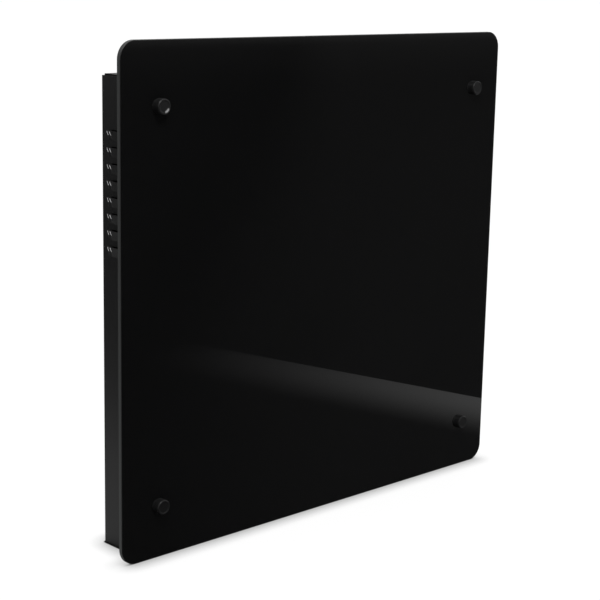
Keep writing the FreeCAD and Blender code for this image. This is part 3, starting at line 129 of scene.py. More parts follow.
class Socket:
    """An output of a shader tree that can stand in a Python expression."""

    __add__ = operator("ADD")
    __radd__ = operator("ADD", reflected=True)
    __sub__ = operator("SUBTRACT")
    __rsub__ = operator("SUBTRACT", reflected=True)
    __mul__ = operator("MULTIPLY")
    __rmul__ = operator("MULTIPLY", reflected=True)
    __truediv__ = operator("DIVIDE")
    __rtruediv__ = operator("DIVIDE", reflected=True)
    __mod__ = operator("FLOORED_MODULO")
    __rmod__ = operator("FLOORED_MODULO", reflected=True)
    __gt__ = operator("GREATER_THAN")
    __lt__ = operator("LESS_THAN")
    larger = operator("MAXIMUM")

    def __init__(self, tree: ShaderTree, link: bpy.types.NodeSocket) -> None:
        """Keep the tree and its node's output."""
        self.tree = tree
        self.link = link

    def __abs__(self) -> Socket:
        """This value without its sign."""
        return self.tree.maths("ABSOLUTE", self)

    def root(self) -> Socket:
        """The square root of this value."""
        return self.tree.maths("SQRT", self)

    def waves(self, pitch: float) -> Socket:
        """A wave from nought to one and back in each pitch."""
        return self.tree.maths("SINE", self * (math.tau / pitch)) * 0.5 + 0.5

    def between(self, low: float, high: float) -> Socket:
        """A smooth rise from nought at low to one at high, where high may be the lower one."""
        inputs = {"Value": self, "From Min": low, "From Max": high}
        return self.tree.node("ShaderNodeMapRange", {"interpolation_type": "SMOOTHSTEP"}, inputs)["Result"]


class Outputs:
    """The outputs of one node, by name."""

    def __init__(self, tree: ShaderTree, node: bpy.types.Node) -> None:
        """Keep the tree and its node."""
        self.tree = tree
        self.node = node

    def __getitem__(self, name: str) -> Socket:
        """The output of that name that is in use."""
        return Socket(self.tree, next(s for s in self.node.outputs if s.name == name and s.enabled))


class ShaderTree:
    """The nodes of one material, or of the world."""

    def __init__(self, owner: bpy.types.Material | bpy.types.World) -> None:
        """Start with an empty tree.

        Args:
            owner: The data block that the nodes belong to.
        """
        owner.use_nodes = True
        self.nodes = owner.node_tree.nodes
        self.links = owner.node_tree.links
        self.nodes.clear()

    def node(
        self,
        kind: str,
        settings: dict[str, Any] | None = None,
        inputs: dict[str | int, Any] | None = None,
    ) -> Outputs:
        """Add a node of any type.

        Args:
            kind: The node's type.
            settings: Properties to set first.
            inputs: A value or a link for each socket, by name or by place.

        Returns:
            The node's outputs.
        """
        made = self.nodes.new(kind)
        for name, value in (settings or {}).items():
            setattr(made, name, value)
        for key, value in (inputs or {}).items():
            if isinstance(key, int):
                socket = made.inputs[key]
            else:
                socket = next(s for s in made.inputs if s.name == key and s.enabled)
            self.feed(socket, value)
        return Outputs(self, made)

    def feed(self, socket: bpy.types.NodeSocket, value: Any) -> None:
        """Link or set one input.

        Args:
            socket: The input.
            value: A socket to link, or the value to set.
        """
        if isinstance(value, Socket):
            self.links.new(value.link, socket)
        elif socket.type == "RGBA":
            socket.default_value = (*value, 1.0)
        else:
            socket.default_value = value

    def maths(self, operation: str, *values: Socket | float) -> Socket:
        """One Math node on values."""
        return self.node("ShaderNodeMath", {"operation": operation}, dict(enumerate(values)))["Value"]

    def dot(self, first: Socket, second: Socket) -> Socket:
        """How far two vectors agree."""
        settings = {"operation": "DOT_PRODUCT"}
        return self.node("ShaderNodeVectorMath", settings, {0: first, 1: second})["Value"]

    def stretch(self, vector: Socket, factors: Place) -> Socket:
        """A vector scaled along each axis."""
        settings = {"operation": "MULTIPLY"}
        return self.node("ShaderNodeVectorMath", settings, {0: vector, 1: factors})["Vector"]

    def mix(self, share: Socket, first: Socket | Colour, second: Socket | Colour) -> Socket:
        """A colour between two colours, by the share of the second."""
        inputs = {"Factor": share, "A": first, "B": second}
        return self.node("ShaderNodeMix", {"data_type": "RGBA"}, inputs)["Result"]

    def place(self) -> Socket:
        """The point on the piece, in its own frame."""
        return self.node("ShaderNodeTexCoord")["Object"]

    def facing(self) -> Socket:
        """The direction that the surface faces."""
        return self.node("ShaderNodeNewGeometry")["Normal"]

    def parts(self, vector: Socket) -> tuple[Socket, Socket, Socket]:
        """The three components of a vector."""
        split = self.node("ShaderNodeSeparateXYZ", None, {"Vector": vector})
        return split["X"], split["Y"], split["Z"]

    def noise(self, vector: Socket, cloud: Cloud) -> Socket:
        """Cloudy noise from nought to one."""
        inputs = {"Vector": vector, "Scale": cloud.scale, "Detail": cloud.detail}
        return self.node("ShaderNodeTexNoise", None, inputs)["Fac"]

    def patches(self, vector: Socket, cloud: Cloud) -> Socket:
        """A mask of the patches in cloudy noise."""
        return self.noise(vector, cloud).between(*cloud.rise)

    def cells(self, vector: Socket, scale: float) -> Socket:
        """The distance to the nearest of many scattered points."""
        return self.node("ShaderNodeTexVoronoi", None, {"Vector": vector, "Scale": scale})["Distance"]

    def edges(self, radius: float) -> tuple[Socket, Socket]:
        """A normal that rounds the edges off, and a mask of where they are."""
        rounded = self.node("ShaderNodeBevel", {"samples": EDGE_SAMPLES}, {"Radius": radius})["Normal"]
        return rounded, (1 - self.dot(rounded, self.facing())).between(*EDGE_TURN)

    def bump(self, height: Socket, relief: Relief, normal: Socket) -> Socket:
        """A normal shaken by a height."""
        sizes = {"Strength": relief.strength, "Distance": relief.depth}
        return self.node("ShaderNodeBump", None, {"Height": height, "Normal": normal, **sizes})["Normal"]


# Finishes

class Grain(enum.Enum):
    """The way that the fine lines of a bare metal run, as a stretch of its pattern."""

    ALONG_X = (0.03, 1.0, 1.0)
    ALONG_Z = (1.0, 1.0, 0.03)
    NONE = (1.0, 1.0, 1.0)


class Sheath(enum.Enum):
    """How a wire's insulation is coloured."""

    PLAIN = "plain"
    STRIPED = "striped"


@dataclass(frozen=True)
class Finish:
    """What every finish has: a name, and a way to become a material."""

    name: str

    def surface(self, tree: ShaderTree) -> Inputs:
        """The surface shader's inputs; each finish gives its own."""
        raise NotImplementedError

    def material(self) -> bpy.types.Material:
        """Make the material.

        Returns:
            The material, with all its nodes.
        """
        made = bpy.data.materials.new(self.name)
        tree = ShaderTree(made)
        shader = tree.node("ShaderNodeBsdfPrincipled", None, self.surface(tree))
        tree.node("ShaderNodeOutputMaterial", None, {"Surface": shader["BSDF"]})
        return made


@dataclass(frozen=True)
class BlackGlass(Finish):
    """Toughened glass painted black behind, with a polished face and a ground rim."""

    face: Colour = (0.0038, 0.0038, 0.0039)
    haze: Colour = (0.0048, 0.0048, 0.0049)
    rim: Colour = (0.0185, 0.0200, 0.0197)
    index: float = 1.5
    roughness: float = 0.012
    smear: float = 0.035
    rim_roughness: float = 0.70
    # How squarely a face looks to the front where the rim's dullness and paleness start and are full
    ground_facing: Point = (0.95, 0.60)
    pale_facing: Point = (0.68, 0.40)
    smudges: Cloud = Cloud(4.0, 3.0, (0.35, 0.70), share=0.7)
    wipes: Cloud = Cloud(5.0, 4.0, (0.52, 0.78))
    wipe_stretch: Place = (9.0, 1.0, 2.2)
    speck_scale: float = 420.0
    speck_size: Point = (0.12, 0.05)
    drifts: Cloud = Cloud(30.0, 2.0, (0.50, 0.70), share=0.3)
    edge_radius: float = 0.0003
    ripple: Relief = Relief(0.03, 0.0004)

    def surface(self, tree: ShaderTree) -> Inputs:
        """A mirror face with faint wipe marks and dust, and a satin rim.

        Args:
            tree: The material's nodes.

        Returns:
            The shader's inputs.
        """
        place = tree.place()
        _, across, _ = tree.parts(tree.facing())
        ground = abs(across).between(*self.ground_facing)
        pale = abs(across).between(*self.pale_facing)
        smudges = tree.noise(place, self.smudges)
        wipes = tree.patches(tree.stretch(place, self.wipe_stretch), self.wipes)
        specks = tree.cells(place, self.speck_scale).between(*self.speck_size)
        dust = specks * tree.patches(place, self.drifts)
        rounded, _ = tree.edges(self.edge_radius)
        haze = self.smudges.share * smudges.between(*self.smudges.rise) + self.drifts.share * dust
        return {
            "Base Color": tree.mix(pale, tree.mix(haze, self.face, self.haze), self.rim),
            "Roughness": self.roughness + self.smear * wipes * smudges + self.rim_roughness * ground,
            "IOR": self.index,
            "Normal": tree.bump(smudges, self.ripple, rounded),
        }


@dataclass(frozen=True)
class PowderCoat(Finish):
    """Fine-textured black powder coat on folded sheet."""

    colour: Colour = (0.0060, 0.0060, 0.0062)
    speck: Colour = (0.0120, 0.0120, 0.0124)
    worn: Colour = (0.040, 0.040, 0.041)
    dust: Colour = (0.050, 0.049, 0.047)
    roughness: float = 0.26
    specular: float = 0.12
    grains: Cloud = Cloud(1500.0, 2.0, (0.42, 0.70), dulling=0.14)
    grain_height: float = 0.6
    peel: Cloud = Cloud(330.0, 2.0)
    peel_height: float = 0.4
    drifts: Cloud = Cloud(11.0, 3.0, (0.30, 0.75), share=0.35, dulling=0.10)
    # How far a face looks up where dust starts to settle, and where it settles fully
    settling: Point = (0.60, 0.95)
    dust_dulling: float = 0.15
    chips: Cloud = Cloud(240.0, 3.0, (0.42, 0.66), share=0.7)
    edge_radius: float = 0.0006
    texture: Relief = Relief(0.35, 0.00008)

    def surface(self, tree: ShaderTree) -> Inputs:
        """Fine grains over a slow orange peel, thin at the edges, with some dust on top.

        Args:
            tree: The material's nodes.

        Returns:
            The shader's inputs.
        """
        place = tree.place()
        grains = tree.noise(place, self.grains)
        peel = tree.noise(place, self.peel)
        drifts = tree.noise(place, self.drifts)
        rounded, edge = tree.edges(self.edge_radius)
        _, _, upward = tree.parts(tree.facing())
        chipped = edge * tree.patches(place, self.chips)
        settled = upward.between(*self.settling) * drifts.between(*self.drifts.rise)
        coat = tree.mix(grains.between(*self.grains.rise), self.colour, self.speck)
        dusty = tree.mix(settled * self.drifts.share, coat, self.dust)
        dulled = self.grains.dulling * grains + self.drifts.dulling * drifts + self.dust_dulling * settled
        height = self.grain_height * grains + self.peel_height * peel
        return {
            "Base Color": tree.mix(chipped * self.chips.share, dusty, self.worn),
            "Roughness": self.roughness + dulled,
            "Specular IOR Level": self.specular,
            "Normal": tree.bump(height, self.texture, rounded),
        }


@dataclass(frozen=True)
class LouvredCoat(PowderCoat):
    """Powder coat with two painted highlight strokes at the rear end of each louvre."""

    # The louvres' places: the top of the first one, and the row below it
    first_height: float = 0.3568
    pitch: float = 0.0137
    count: int = 8
    # The painted highlight strokes: where their two creases lie, how they slant, and where each fades out
    main_crease: float = 0.0147
    step_crease: float = 0.0190
    slant: float = 0.5
    stroke_half: Point = (0.0011, 0.0006)
    stroke_start: Point = (0.0003, 0.0014)
    stroke_end: Point = (0.0042, 0.0032)
    painted_highlight: Colour = (0.80, 0.80, 0.81)

    def surface(self, tree: ShaderTree) -> Inputs:
        """The plain coat, with two painted highlight strokes slanting on the stepped end of each louvre.

        Args:
            tree: The material's nodes.

        Returns:
            The shader's inputs.
        """
        inputs = super().surface(tree)
        _, depth, height = tree.parts(tree.place())
        below = self.first_height - height
        drop = below % self.pitch
        among = (below > 0.0) * (below < self.count * self.pitch)
        upright = depth + self.slant * drop
        main = abs(upright - self.main_crease).between(*self.stroke_half)
        step = abs(upright - self.step_crease).between(*self.stroke_half)
        stroke_fade = drop.between(*self.stroke_start) * drop.between(*self.stroke_end)
        painted_strokes = main.larger(step) * among * stroke_fade
        # Painted highlight: near-white base colour in two slanting strokes where the louvre ends would
        # catch a glint
        inputs["Base Color"] = tree.mix(painted_strokes, inputs["Base Color"], self.painted_highlight)
        return inputs


@dataclass(frozen=True)
class TurnedCap(Finish):
    """Black anodised aluminium with lathe rings about four axes."""

    # The caps' axes: their distance from the middle line, and their two heights
    across: float = 0.1918
    low: float = 0.046
    high: float = 0.3796
    colour: Colour = (0.0062, 0.0062, 0.0064)
    bright: Colour = (0.045, 0.045, 0.046)
    painted_highlight: Colour = (0.33, 0.33, 0.33)
    roughness: float = 0.26
    specular: float = 0.20
    ring_pitch: float = 0.00034
    ring_share: float = 0.04
    ring_dulling: float = 0.10
    ring_height: float = 0.7
    mottle: Cloud = Cloud(500.0, 3.0, (0.30, 0.70), share=0.6, dulling=0.12)
    mottle_height: float = 0.3
    edge_radius: float = 0.0005
    # The painted glint on the upper left cap: its circle, its half width, its heading and its spread
    painted_glint_radius: float = 0.0043
    painted_glint_half: Point = (0.0013, 0.0002)
    painted_glint_heading: Point = (-0.64, -0.77)
    painted_glint_spread: Point = (0.78, 0.98)
    turning: Relief = Relief(0.25, 0.00002)

    def surface(self, tree: ShaderTree) -> Inputs:
        """Rings by the distance from the nearest axis, rubbed edges, and one painted glint on the upper
        left cap.

        Args:
            tree: The material's nodes.

        Returns:
            The shader's inputs.
        """
        place = tree.place()
        side, _, height = tree.parts(place)
        upper = height > (self.low + self.high) / 2
        from_side = abs(side) - self.across
        from_height = height - self.low - upper * (self.high - self.low)
        radius = (from_side * from_side + from_height * from_height).root()
        rings = radius.waves(self.ring_pitch)
        mottle = tree.noise(place, self.mottle)
        rounded, edge = tree.edges(self.edge_radius)
        rubbed = edge * mottle.between(*self.mottle.rise)
        worn = tree.mix(self.mottle.share * rubbed + self.ring_share * rings, self.colour, self.bright)
        heading = (from_side * self.painted_glint_heading[0] + from_height * self.painted_glint_heading[1]) / radius
        painted_glint = abs(radius - self.painted_glint_radius).between(*self.painted_glint_half) * heading.between(*self.painted_glint_spread)
        relief = self.ring_height * rings + self.mottle_height * mottle
        return {
            # Painted highlight: a pale crescent near the rim of the upper left cap's face, where a glint
            # would fall
            "Base Color": tree.mix(painted_glint * upper * (side < 0.0), worn, self.painted_highlight),
            "Roughness": self.roughness + self.ring_dulling * rings + self.mottle.dulling * mottle,
            "Specular IOR Level": self.specular,
            "Normal": tree.bump(relief, self.turning, rounded),
        }


@dataclass(frozen=True)
class BareMetal(Finish):
    """Plated, mill-finished or stamped metal."""

    colour: Colour
    stain: Colour
    roughness: float
    grain: Grain = Grain.NONE
    lines: Cloud = Cloud(2600.0, 2.0, dulling=0.14)
    stains: Cloud = Cloud(70.0, 4.0, (0.38, 0.72), share=0.75, dulling=0.12)
    edge_radius: float = 0.0003
    edge_share: float = 0.5
    edge_gain: float = 1.25
    scratching: Relief = Relief(0.2, 0.00003)

    def surface(self, tree: ShaderTree) -> Inputs:
        """Fine lines, cloudy staining and brighter edges.

        Args:
            tree: The material's nodes.

        Returns:
            The shader's inputs.
        """
        place = tree.place()
        lines = tree.noise(tree.stretch(place, self.grain.value), self.lines)
        stains = tree.noise(place, self.stains)
        rounded, edge = tree.edges(self.edge_radius)
        stained = tree.mix(stains.between(*self.stains.rise) * self.stains.share, self.colour, self.stain)
        rubbed = tuple(min(1.0, part * self.edge_gain) for part in self.colour)
        return {
            "Base Color": tree.mix(edge * self.edge_share, stained, rubbed),
            "Metallic": 1.0,
            "Roughness": self.roughness + self.lines.dulling * lines + self.stains.dulling * stains,
            "Normal": tree.bump(lines, self.scratching, rounded),
        }


@dataclass(frozen=True)
class MouldedPlastic(Finish):
    """Moulded plastic, from polished (texture nought) to spark textured (texture one)."""

    colour: Colour
    rubbed: Colour
    roughness: float
    texture: float
    sparks: Cloud = Cloud(1900.0, 3.0, (0.35, 0.75), share=0.35, dulling=0.15)
    spark_strength: float = 0.6
    least_strength: float = 0.02
    spark_depth: float = 0.00006
    flow: Cloud = Cloud(60.0, 3.0, (0.30, 0.65), share=0.6, dulling=0.10)
    flow_stretch: Place = (1.0, 1.0, 0.4)
    edge_radius: float = 0.0004
    edge_polish: float = 0.08

    def surface(self, tree: ShaderTree) -> Inputs:
        """Spark texture, slow flow marks and edges that handling has polished.

        Args:
            tree: The material's nodes.

        Returns:
            The shader's inputs.
        """
        place = tree.place()
        sparks = tree.noise(place, self.sparks)
        flow = tree.noise(tree.stretch(place, self.flow_stretch), self.flow)
        rounded, edge = tree.edges(self.edge_radius)
        handled = edge * flow.between(*self.flow.rise)
        tint = tree.mix(sparks.between(*self.sparks.rise) * self.sparks.share, self.colour, self.rubbed)
        dulled = self.sparks.dulling * self.texture * sparks + self.flow.dulling * flow
        relief = Relief(self.spark_strength * self.texture + self.least_strength, self.spark_depth)
        return {
            "Base Color": tree.mix(handled * self.flow.share, tint, self.rubbed),
            "Roughness": self.roughness + dulled - self.edge_polish * handled,
            "Normal": tree.bump(sparks, relief, rounded),
        }


@dataclass(frozen=True)
class SoftRubber(Finish):
    """Matt black rubber with a bloom."""

    colour: Colour = (0.016, 0.016, 0.016)
    bloom: Colour = (0.050, 0.049, 0.047)
    roughness: float = 0.68
    pores: Cloud = Cloud(2400.0, 2.0, dulling=0.18)
    blooms: Cloud = Cloud(150.0, 3.0, (0.45, 0.80), share=0.5)
    edge_radius: float = 0.0005
    edge_share: float = 0.2
    pitting: Relief = Relief(0.35, 0.00005)

    def surface(self, tree: ShaderTree) -> Inputs:
        """A dull skin with a pale bloom in patches.

        Args:
            tree: The material's nodes.

        Returns:
            The shader's inputs.
        """
        place = tree.place()
        pores = tree.noise(place, self.pores)
        rounded, edge = tree.edges(self.edge_radius)
        paled = self.blooms.share * tree.patches(place, self.blooms) + self.edge_share * edge
        return {
            "Base Color": tree.mix(paled, self.colour, self.bloom),
            "Roughness": self.roughness + self.pores.dulling * pores,
            "Normal": tree.bump(pores, self.pitting, rounded),
        }


@dataclass(frozen=True)
class BareCeramic(Finish):
    """Unglazed steatite."""

    colour: Colour = (0.74, 0.70, 0.62)
    scorch: Colour = (0.42, 0.33, 0.23)
    roughness: float = 0.62
    pore_scale: float = 1300.0
    scorches: Cloud = Cloud(190.0, 4.0, (0.45, 0.80), share=0.6, dulling=0.2)
    edge_radius: float = 0.0004
    pitting: Relief = Relief(0.3, 0.00006)

    def surface(self, tree: ShaderTree) -> Inputs:
        """A chalky skin with scorched patches and pores.

        Args:
            tree: The material's nodes.

        Returns:
            The shader's inputs.
        """
        place = tree.place()
        pores = tree.cells(place, self.pore_scale)
        scorches = tree.noise(place, self.scorches)
        rounded, _ = tree.edges(self.edge_radius)
        scorched = scorches.between(*self.scorches.rise) * self.scorches.share
        return {
            "Base Color": tree.mix(scorched, self.colour, self.scorch),
            "Roughness": self.roughness + self.scorches.dulling * scorches,
            "Normal": tree.bump(pores, self.pitting, rounded),
        }


@dataclass(frozen=True)
class LampLens(Finish):
    """Amber lens over an unlit lamp, ribbed on its inside."""

    clear: Colour = (0.62, 0.17, 0.015)
    deep: Colour = (0.25, 0.045, 0.004)
    roughness: float = 0.10
    coat: float = 0.6
    coat_roughness: float = 0.05
    rib_pitch: float = 0.0011
    rib_share: float = 0.7
    milk: Cloud = Cloud(500.0, 2.0, share=0.2, dulling=0.10)
    edge_radius: float = 0.0003
    ribbing: Relief = Relief(0.25, 0.00015)

    def surface(self, tree: ShaderTree) -> Inputs:
        """Upright ribs that darken and bend the colour under a glossy skin.

        Args:
            tree: The material's nodes.

        Returns:
            The shader's inputs.
        """
        place = tree.place()
        _, across, _ = tree.parts(place)
        ribs = across.waves(self.rib_pitch)
        milk = tree.noise(place, self.milk)
        rounded, _ = tree.edges(self.edge_radius)
        return {
            "Base Color": tree.mix(self.rib_share * ribs + self.milk.share * milk, self.clear, self.deep),
            "Roughness": self.roughness + self.milk.dulling * milk,
            "Coat Weight": self.coat,
            "Coat Roughness": self.coat_roughness,
            "Normal": tree.bump(ribs, self.ribbing, rounded),
        }


@dataclass(frozen=True)
class Insulation(Finish):
    """Wire insulation, plain or banded with a second colour."""

    colour: Colour
    second: Colour
    sheath: Sheath = Sheath.PLAIN
    roughness: float = 0.38
    scuffs: Cloud = Cloud(300.0, 3.0, (0.50, 0.80), share=0.3, dulling=0.2)
    band_pitch: float = 0.009
    band_edge: Point = (0.425, 0.575)
    edge_radius: float = 0.0002
    scuffing: Relief = Relief(0.15, 0.00005)

    def surface(self, tree: ShaderTree) -> Inputs:
        """A satin skin, faintly scuffed, or in even bands where it is an earth wire.

        Args:
            tree: The material's nodes.

        Returns:
            The shader's inputs.
        """
        place = tree.place()
        scuffs = tree.noise(place, self.scuffs)
        rounded, _ = tree.edges(self.edge_radius)
        if self.sheath is Sheath.STRIPED:
            _, depth, height = tree.parts(place)
            share = (depth + height).waves(self.band_pitch).between(*self.band_edge)
        else:
            share = scuffs.between(*self.scuffs.rise) * self.scuffs.share
        return {
            "Base Color": tree.mix(share, self.colour, self.second),
            "Roughness": self.roughness + self.scuffs.dulling * scuffs,
            "Normal": tree.bump(scuffs, self.scuffing, rounded),
        }


@dataclass(frozen=True)
class PrintedMark(Finish):
    """Pale pad-printed ink."""

    colour: Colour = (0.70, 0.70, 0.68)
    thin: Colour = (0.42, 0.42, 0.41)
    roughness: float = 0.45
    gaps: Cloud = Cloud(1500.0, 3.0, (0.50, 0.80), share=0.6, dulling=0.2)
    skin: Relief = Relief(0.2, 0.00003)

    def surface(self, tree: ShaderTree) -> Inputs:
        """Ink that is thinner in small patches.

        Args:
            tree: The material's nodes.

        Returns:
            The shader's inputs.
        """
        gaps = tree.noise(tree.place(), self.gaps)
        thinned = gaps.between(*self.gaps.rise) * self.gaps.share
        return {
            "Base Color": tree.mix(thinned, self.colour, self.thin),
            "Roughness": self.roughness + self.gaps.dulling * gaps,
            "Normal": tree.bump(gaps, self.skin, tree.facing()),
        }


Looks = tuple[tuple[Finish, list[str]], ...]


# Meshes

def prism(name: str, outlines: Iterable[Outline], thickness: float, place: Matrix) -> bpy.types.Object:
    """Raise flat outlines into one thin object.

    Args:
        name: The object's name.
        outlines: Closed outlines in the plane of the first two axes, anticlockwise.
        thickness: How far they are raised along the third axis.
        place: Where the plane lies.

    Returns:
        The object, with its place in its mesh.
    """
    work = bmesh.new()
    for outline in outlines:
        face = work.faces.new([work.verts.new((across, along, 0.0)) for across, along in outline])
        raised = bmesh.ops.extrude_face_region(work, geom=[face])["geom"]
        moved = [item for item in raised if isinstance(item, bmesh.types.BMVert)]
        bmesh.ops.translate(work, verts=moved, vec=(0.0, 0.0, thickness))
    bmesh.ops.recalc_face_normals(work, faces=work.faces)
    work.transform(place)
    mesh = bpy.data.meshes.new(name)
    work.to_mesh(mesh)
    work.free()
    made = bpy.data.objects.new(name, mesh)
    bpy.context.scene.collection.objects.link(made)
    return made


def rounded_bar(centre: Point, size: Point, corner: float, steps: int = 4) -> list[Point]:
    """The outline of a bar with round corners.

    Args:
        centre: The bar's middle.
        size: Its width and its height.
        corner: The radius of its corners.
        steps: How many lines each corner has.

    Returns:
        The outline, anticlockwise.
    """
    outline = []
    for quarter, (right, up) in enumerate(((1, 1), (-1, 1), (-1, -1), (1, -1))):
        middle = (centre[0] + right * (size[0] / 2 - corner), centre[1] + up * (size[1] / 2 - corner))
        for step in range(steps + 1):
            angle = math.radians(90.0 * (quarter + step / steps))
            outline.append((middle[0] + corner * math.cos(angle), middle[1] + corner * math.sin(angle)))
    return outline


def turned_outline(outline: Outline, angle: float) -> list[Point]:
    """An outline turned anticlockwise about the origin, by an angle in radians."""
    cosine, sine = math.cos(angle), math.sin(angle)
    return [(cosine * x - sine * y, sine * x + cosine * y) for x, y in outline]


def ring_outlines(outer: float, inner: float, steps: int = 28) -> list[list[Point]]:
    """A ring about the origin as a row of four-cornered outlines.

    Args:
        outer: Its outer radius.
        inner: Its inner radius.
        steps: How many outlines it takes.

    Returns:
        The outlines.
    """
    def corner(radius: float, step: int) -> Point:
        """A corner on one of the ring's circles."""
        angle = math.tau * step / steps
        return radius * math.cos(angle), radius * math.sin(angle)

    return [
        [corner(outer, step), corner(outer, step + 1), corner(inner, step + 1), corner(inner, step)]
        for step in range(steps)
    ]


# Sub-assemblies

# A row of looks gives a metal's stain or a plastic's rubbed colour after its colour, then its roughness
@dataclass
class SubAssembly:
    """Pieces that are dressed together: the frame they come from, and each finish with its nodes."""

    frame: dict[str, Any]
    looks: Looks = ()

    def dress(self) -> None:
        """Give the modelled nodes their finishes and smooth their round faces."""
        for finish, nodes in self.looks:
            material = finish.material()
            for node in nodes:
                mesh = self.frame["nodes"][node].data
                mesh.materials.clear()
                mesh.materials.append(material)
                mesh.shade_smooth()
                mesh.set_sharp_from_angle(angle=SHARP_ANGLE)
                LOG.info("%s: %s", node, finish.name)

    def add(self, piece: bpy.types.Object, finish: Finish, body: str, slot: str) -> None:
        """Give a new piece its finish and the body that carries it.

        Args:
            piece: The piece.
            finish: Its finish.
            body: The body's name.
            slot: The record's material slot that is nearest to the finish; not used.
        """
        piece.data.materials.append(finish.material())
        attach(piece, body)
        LOG.info("%s: %s on %s", piece.name, finish.name, body)


@dataclass
class GlassFront(SubAssembly):
    """The glass, and the studs that carry it in front of the casing."""

    looks: Looks = (
        (BlackGlass("black_glass"), ["glass_panel"]),
        (TurnedCap("turned_cap"), ["glass_studs"]),
        (SoftRubber("stud_rubber"), ["stud_washers", "glass_bushes", "glass_spacers"]),
        (BareMetal("zinc_nut", (0.60, 0.59, 0.56), (0.42, 0.41, 0.36), 0.30), ["stud_nuts"]),
    )

    def dress(self) -> None:
        """Finish the glass, its studs and what they clamp, and keep the caps out of reflections."""
        super().dress()
        self.frame["nodes"]["glass_studs"].visible_glossy = False


@dataclass
class Casing(SubAssembly):
    """The folded casing, its covers, hangers, bumpers and cord gland."""

    looks: Looks = (
        (LouvredCoat("louvred_coat"), ["casing_shell"]),
        (PowderCoat("powder_coat"), ["bottom_plate", "rear_cover"]),
        (
            PowderCoat("lid_coat", (0.0025, 0.0025, 0.0026), (0.005, 0.005, 0.0052), specular=0.04),
            ["top_grille"],
        ),
        (PowderCoat("hanger_coat", roughness=0.34), ["hanger_left", "hanger_right"]),
        (
            BareMetal("black_zinc", (0.055, 0.055, 0.058), (0.025, 0.025, 0.025), 0.28),
            ["rear_screws", "hanger_rivets"],
        ),
        (SoftRubber("bumper_rubber"), ["wall_bumpers"]),
        (
            MouldedPlastic("gland_nylon", (0.013, 0.013, 0.014), (0.04, 0.04, 0.041), 0.36, 0.5),
            ["cord_gland", "gland_nut"],
        ),
    )


@dataclass
class HeatingCore(SubAssembly):
    """The finned element, its supports and its thermal cutout."""

    looks: Looks = (
        (
            BareMetal("drawn_fins", (0.74, 0.74, 0.73), (0.50, 0.47, 0.42), 0.30, Grain.ALONG_X),
            ["element_fins"],
        ),
        (
            BareMetal("heat_tinted_tube", (0.48, 0.42, 0.34), (0.22, 0.17, 0.15), 0.30, Grain.ALONG_X),
            ["element_tube"],
        ),
        (BareMetal("bright_foil", (0.80, 0.80, 0.79), (0.66, 0.65, 0.62), 0.18), ["heat_reflector"]),
        (
            BareMetal("zinc_sheet", (0.58, 0.58, 0.56), (0.43, 0.43, 0.40), 0.30, Grain.ALONG_Z),
            ["element_bracket", "partition_plate", "cutout_screws"],
        ),
        (BareMetal("cutout_can", (0.70, 0.70, 0.69), (0.52, 0.50, 0.46), 0.26), ["thermal_cutout"]),
        (BareCeramic("steatite"), ["element_head", "element_bushes"]),
        (
            BareMetal("stamped_brass", (0.72, 0.50, 0.20), (0.45, 0.29, 0.12), 0.25),
            ["element_pins", "spade_tabs"],
        ),
    )


@dataclass
class Wiring(SubAssembly):
    """The terminal block, the earth point and the inner wires."""

    looks: Looks = (
        (
            MouldedPlastic("block_nylon", (0.72, 0.71, 0.67), (0.56, 0.55, 0.50), 0.42, 0.4),
            ["terminal_block"],
        ),
        (
            BareMetal("zinc_screw", (0.60, 0.59, 0.56), (0.40, 0.38, 0.33), 0.28),
            ["terminal_screws", "earth_stud", "earth_nut"],
        ),
        (
            Insulation("brown_sheath", (0.16, 0.065, 0.028), (0.22, 0.10, 0.05)),
            ["live_wire", "switched_wire", "thermostat_wire"]
            + ["element_wire", "heat_feed_wire", "half_heat_wire"],
        ),
        (Insulation("blue_sheath", (0.03, 0.10, 0.40), (0.07, 0.16, 0.48)), ["neutral_wire"]),
        (
            Insulation("earth_sheath", (0.06, 0.30, 0.05), (0.66, 0.55, 0.04), Sheath.STRIPED),
            ["earth_wire"],
        ),
    )


class RockerHalf(enum.Enum):
    """The half of a rocker that carries a mark, as its direction along Z."""

    UPPER = 1
    LOWER = -1


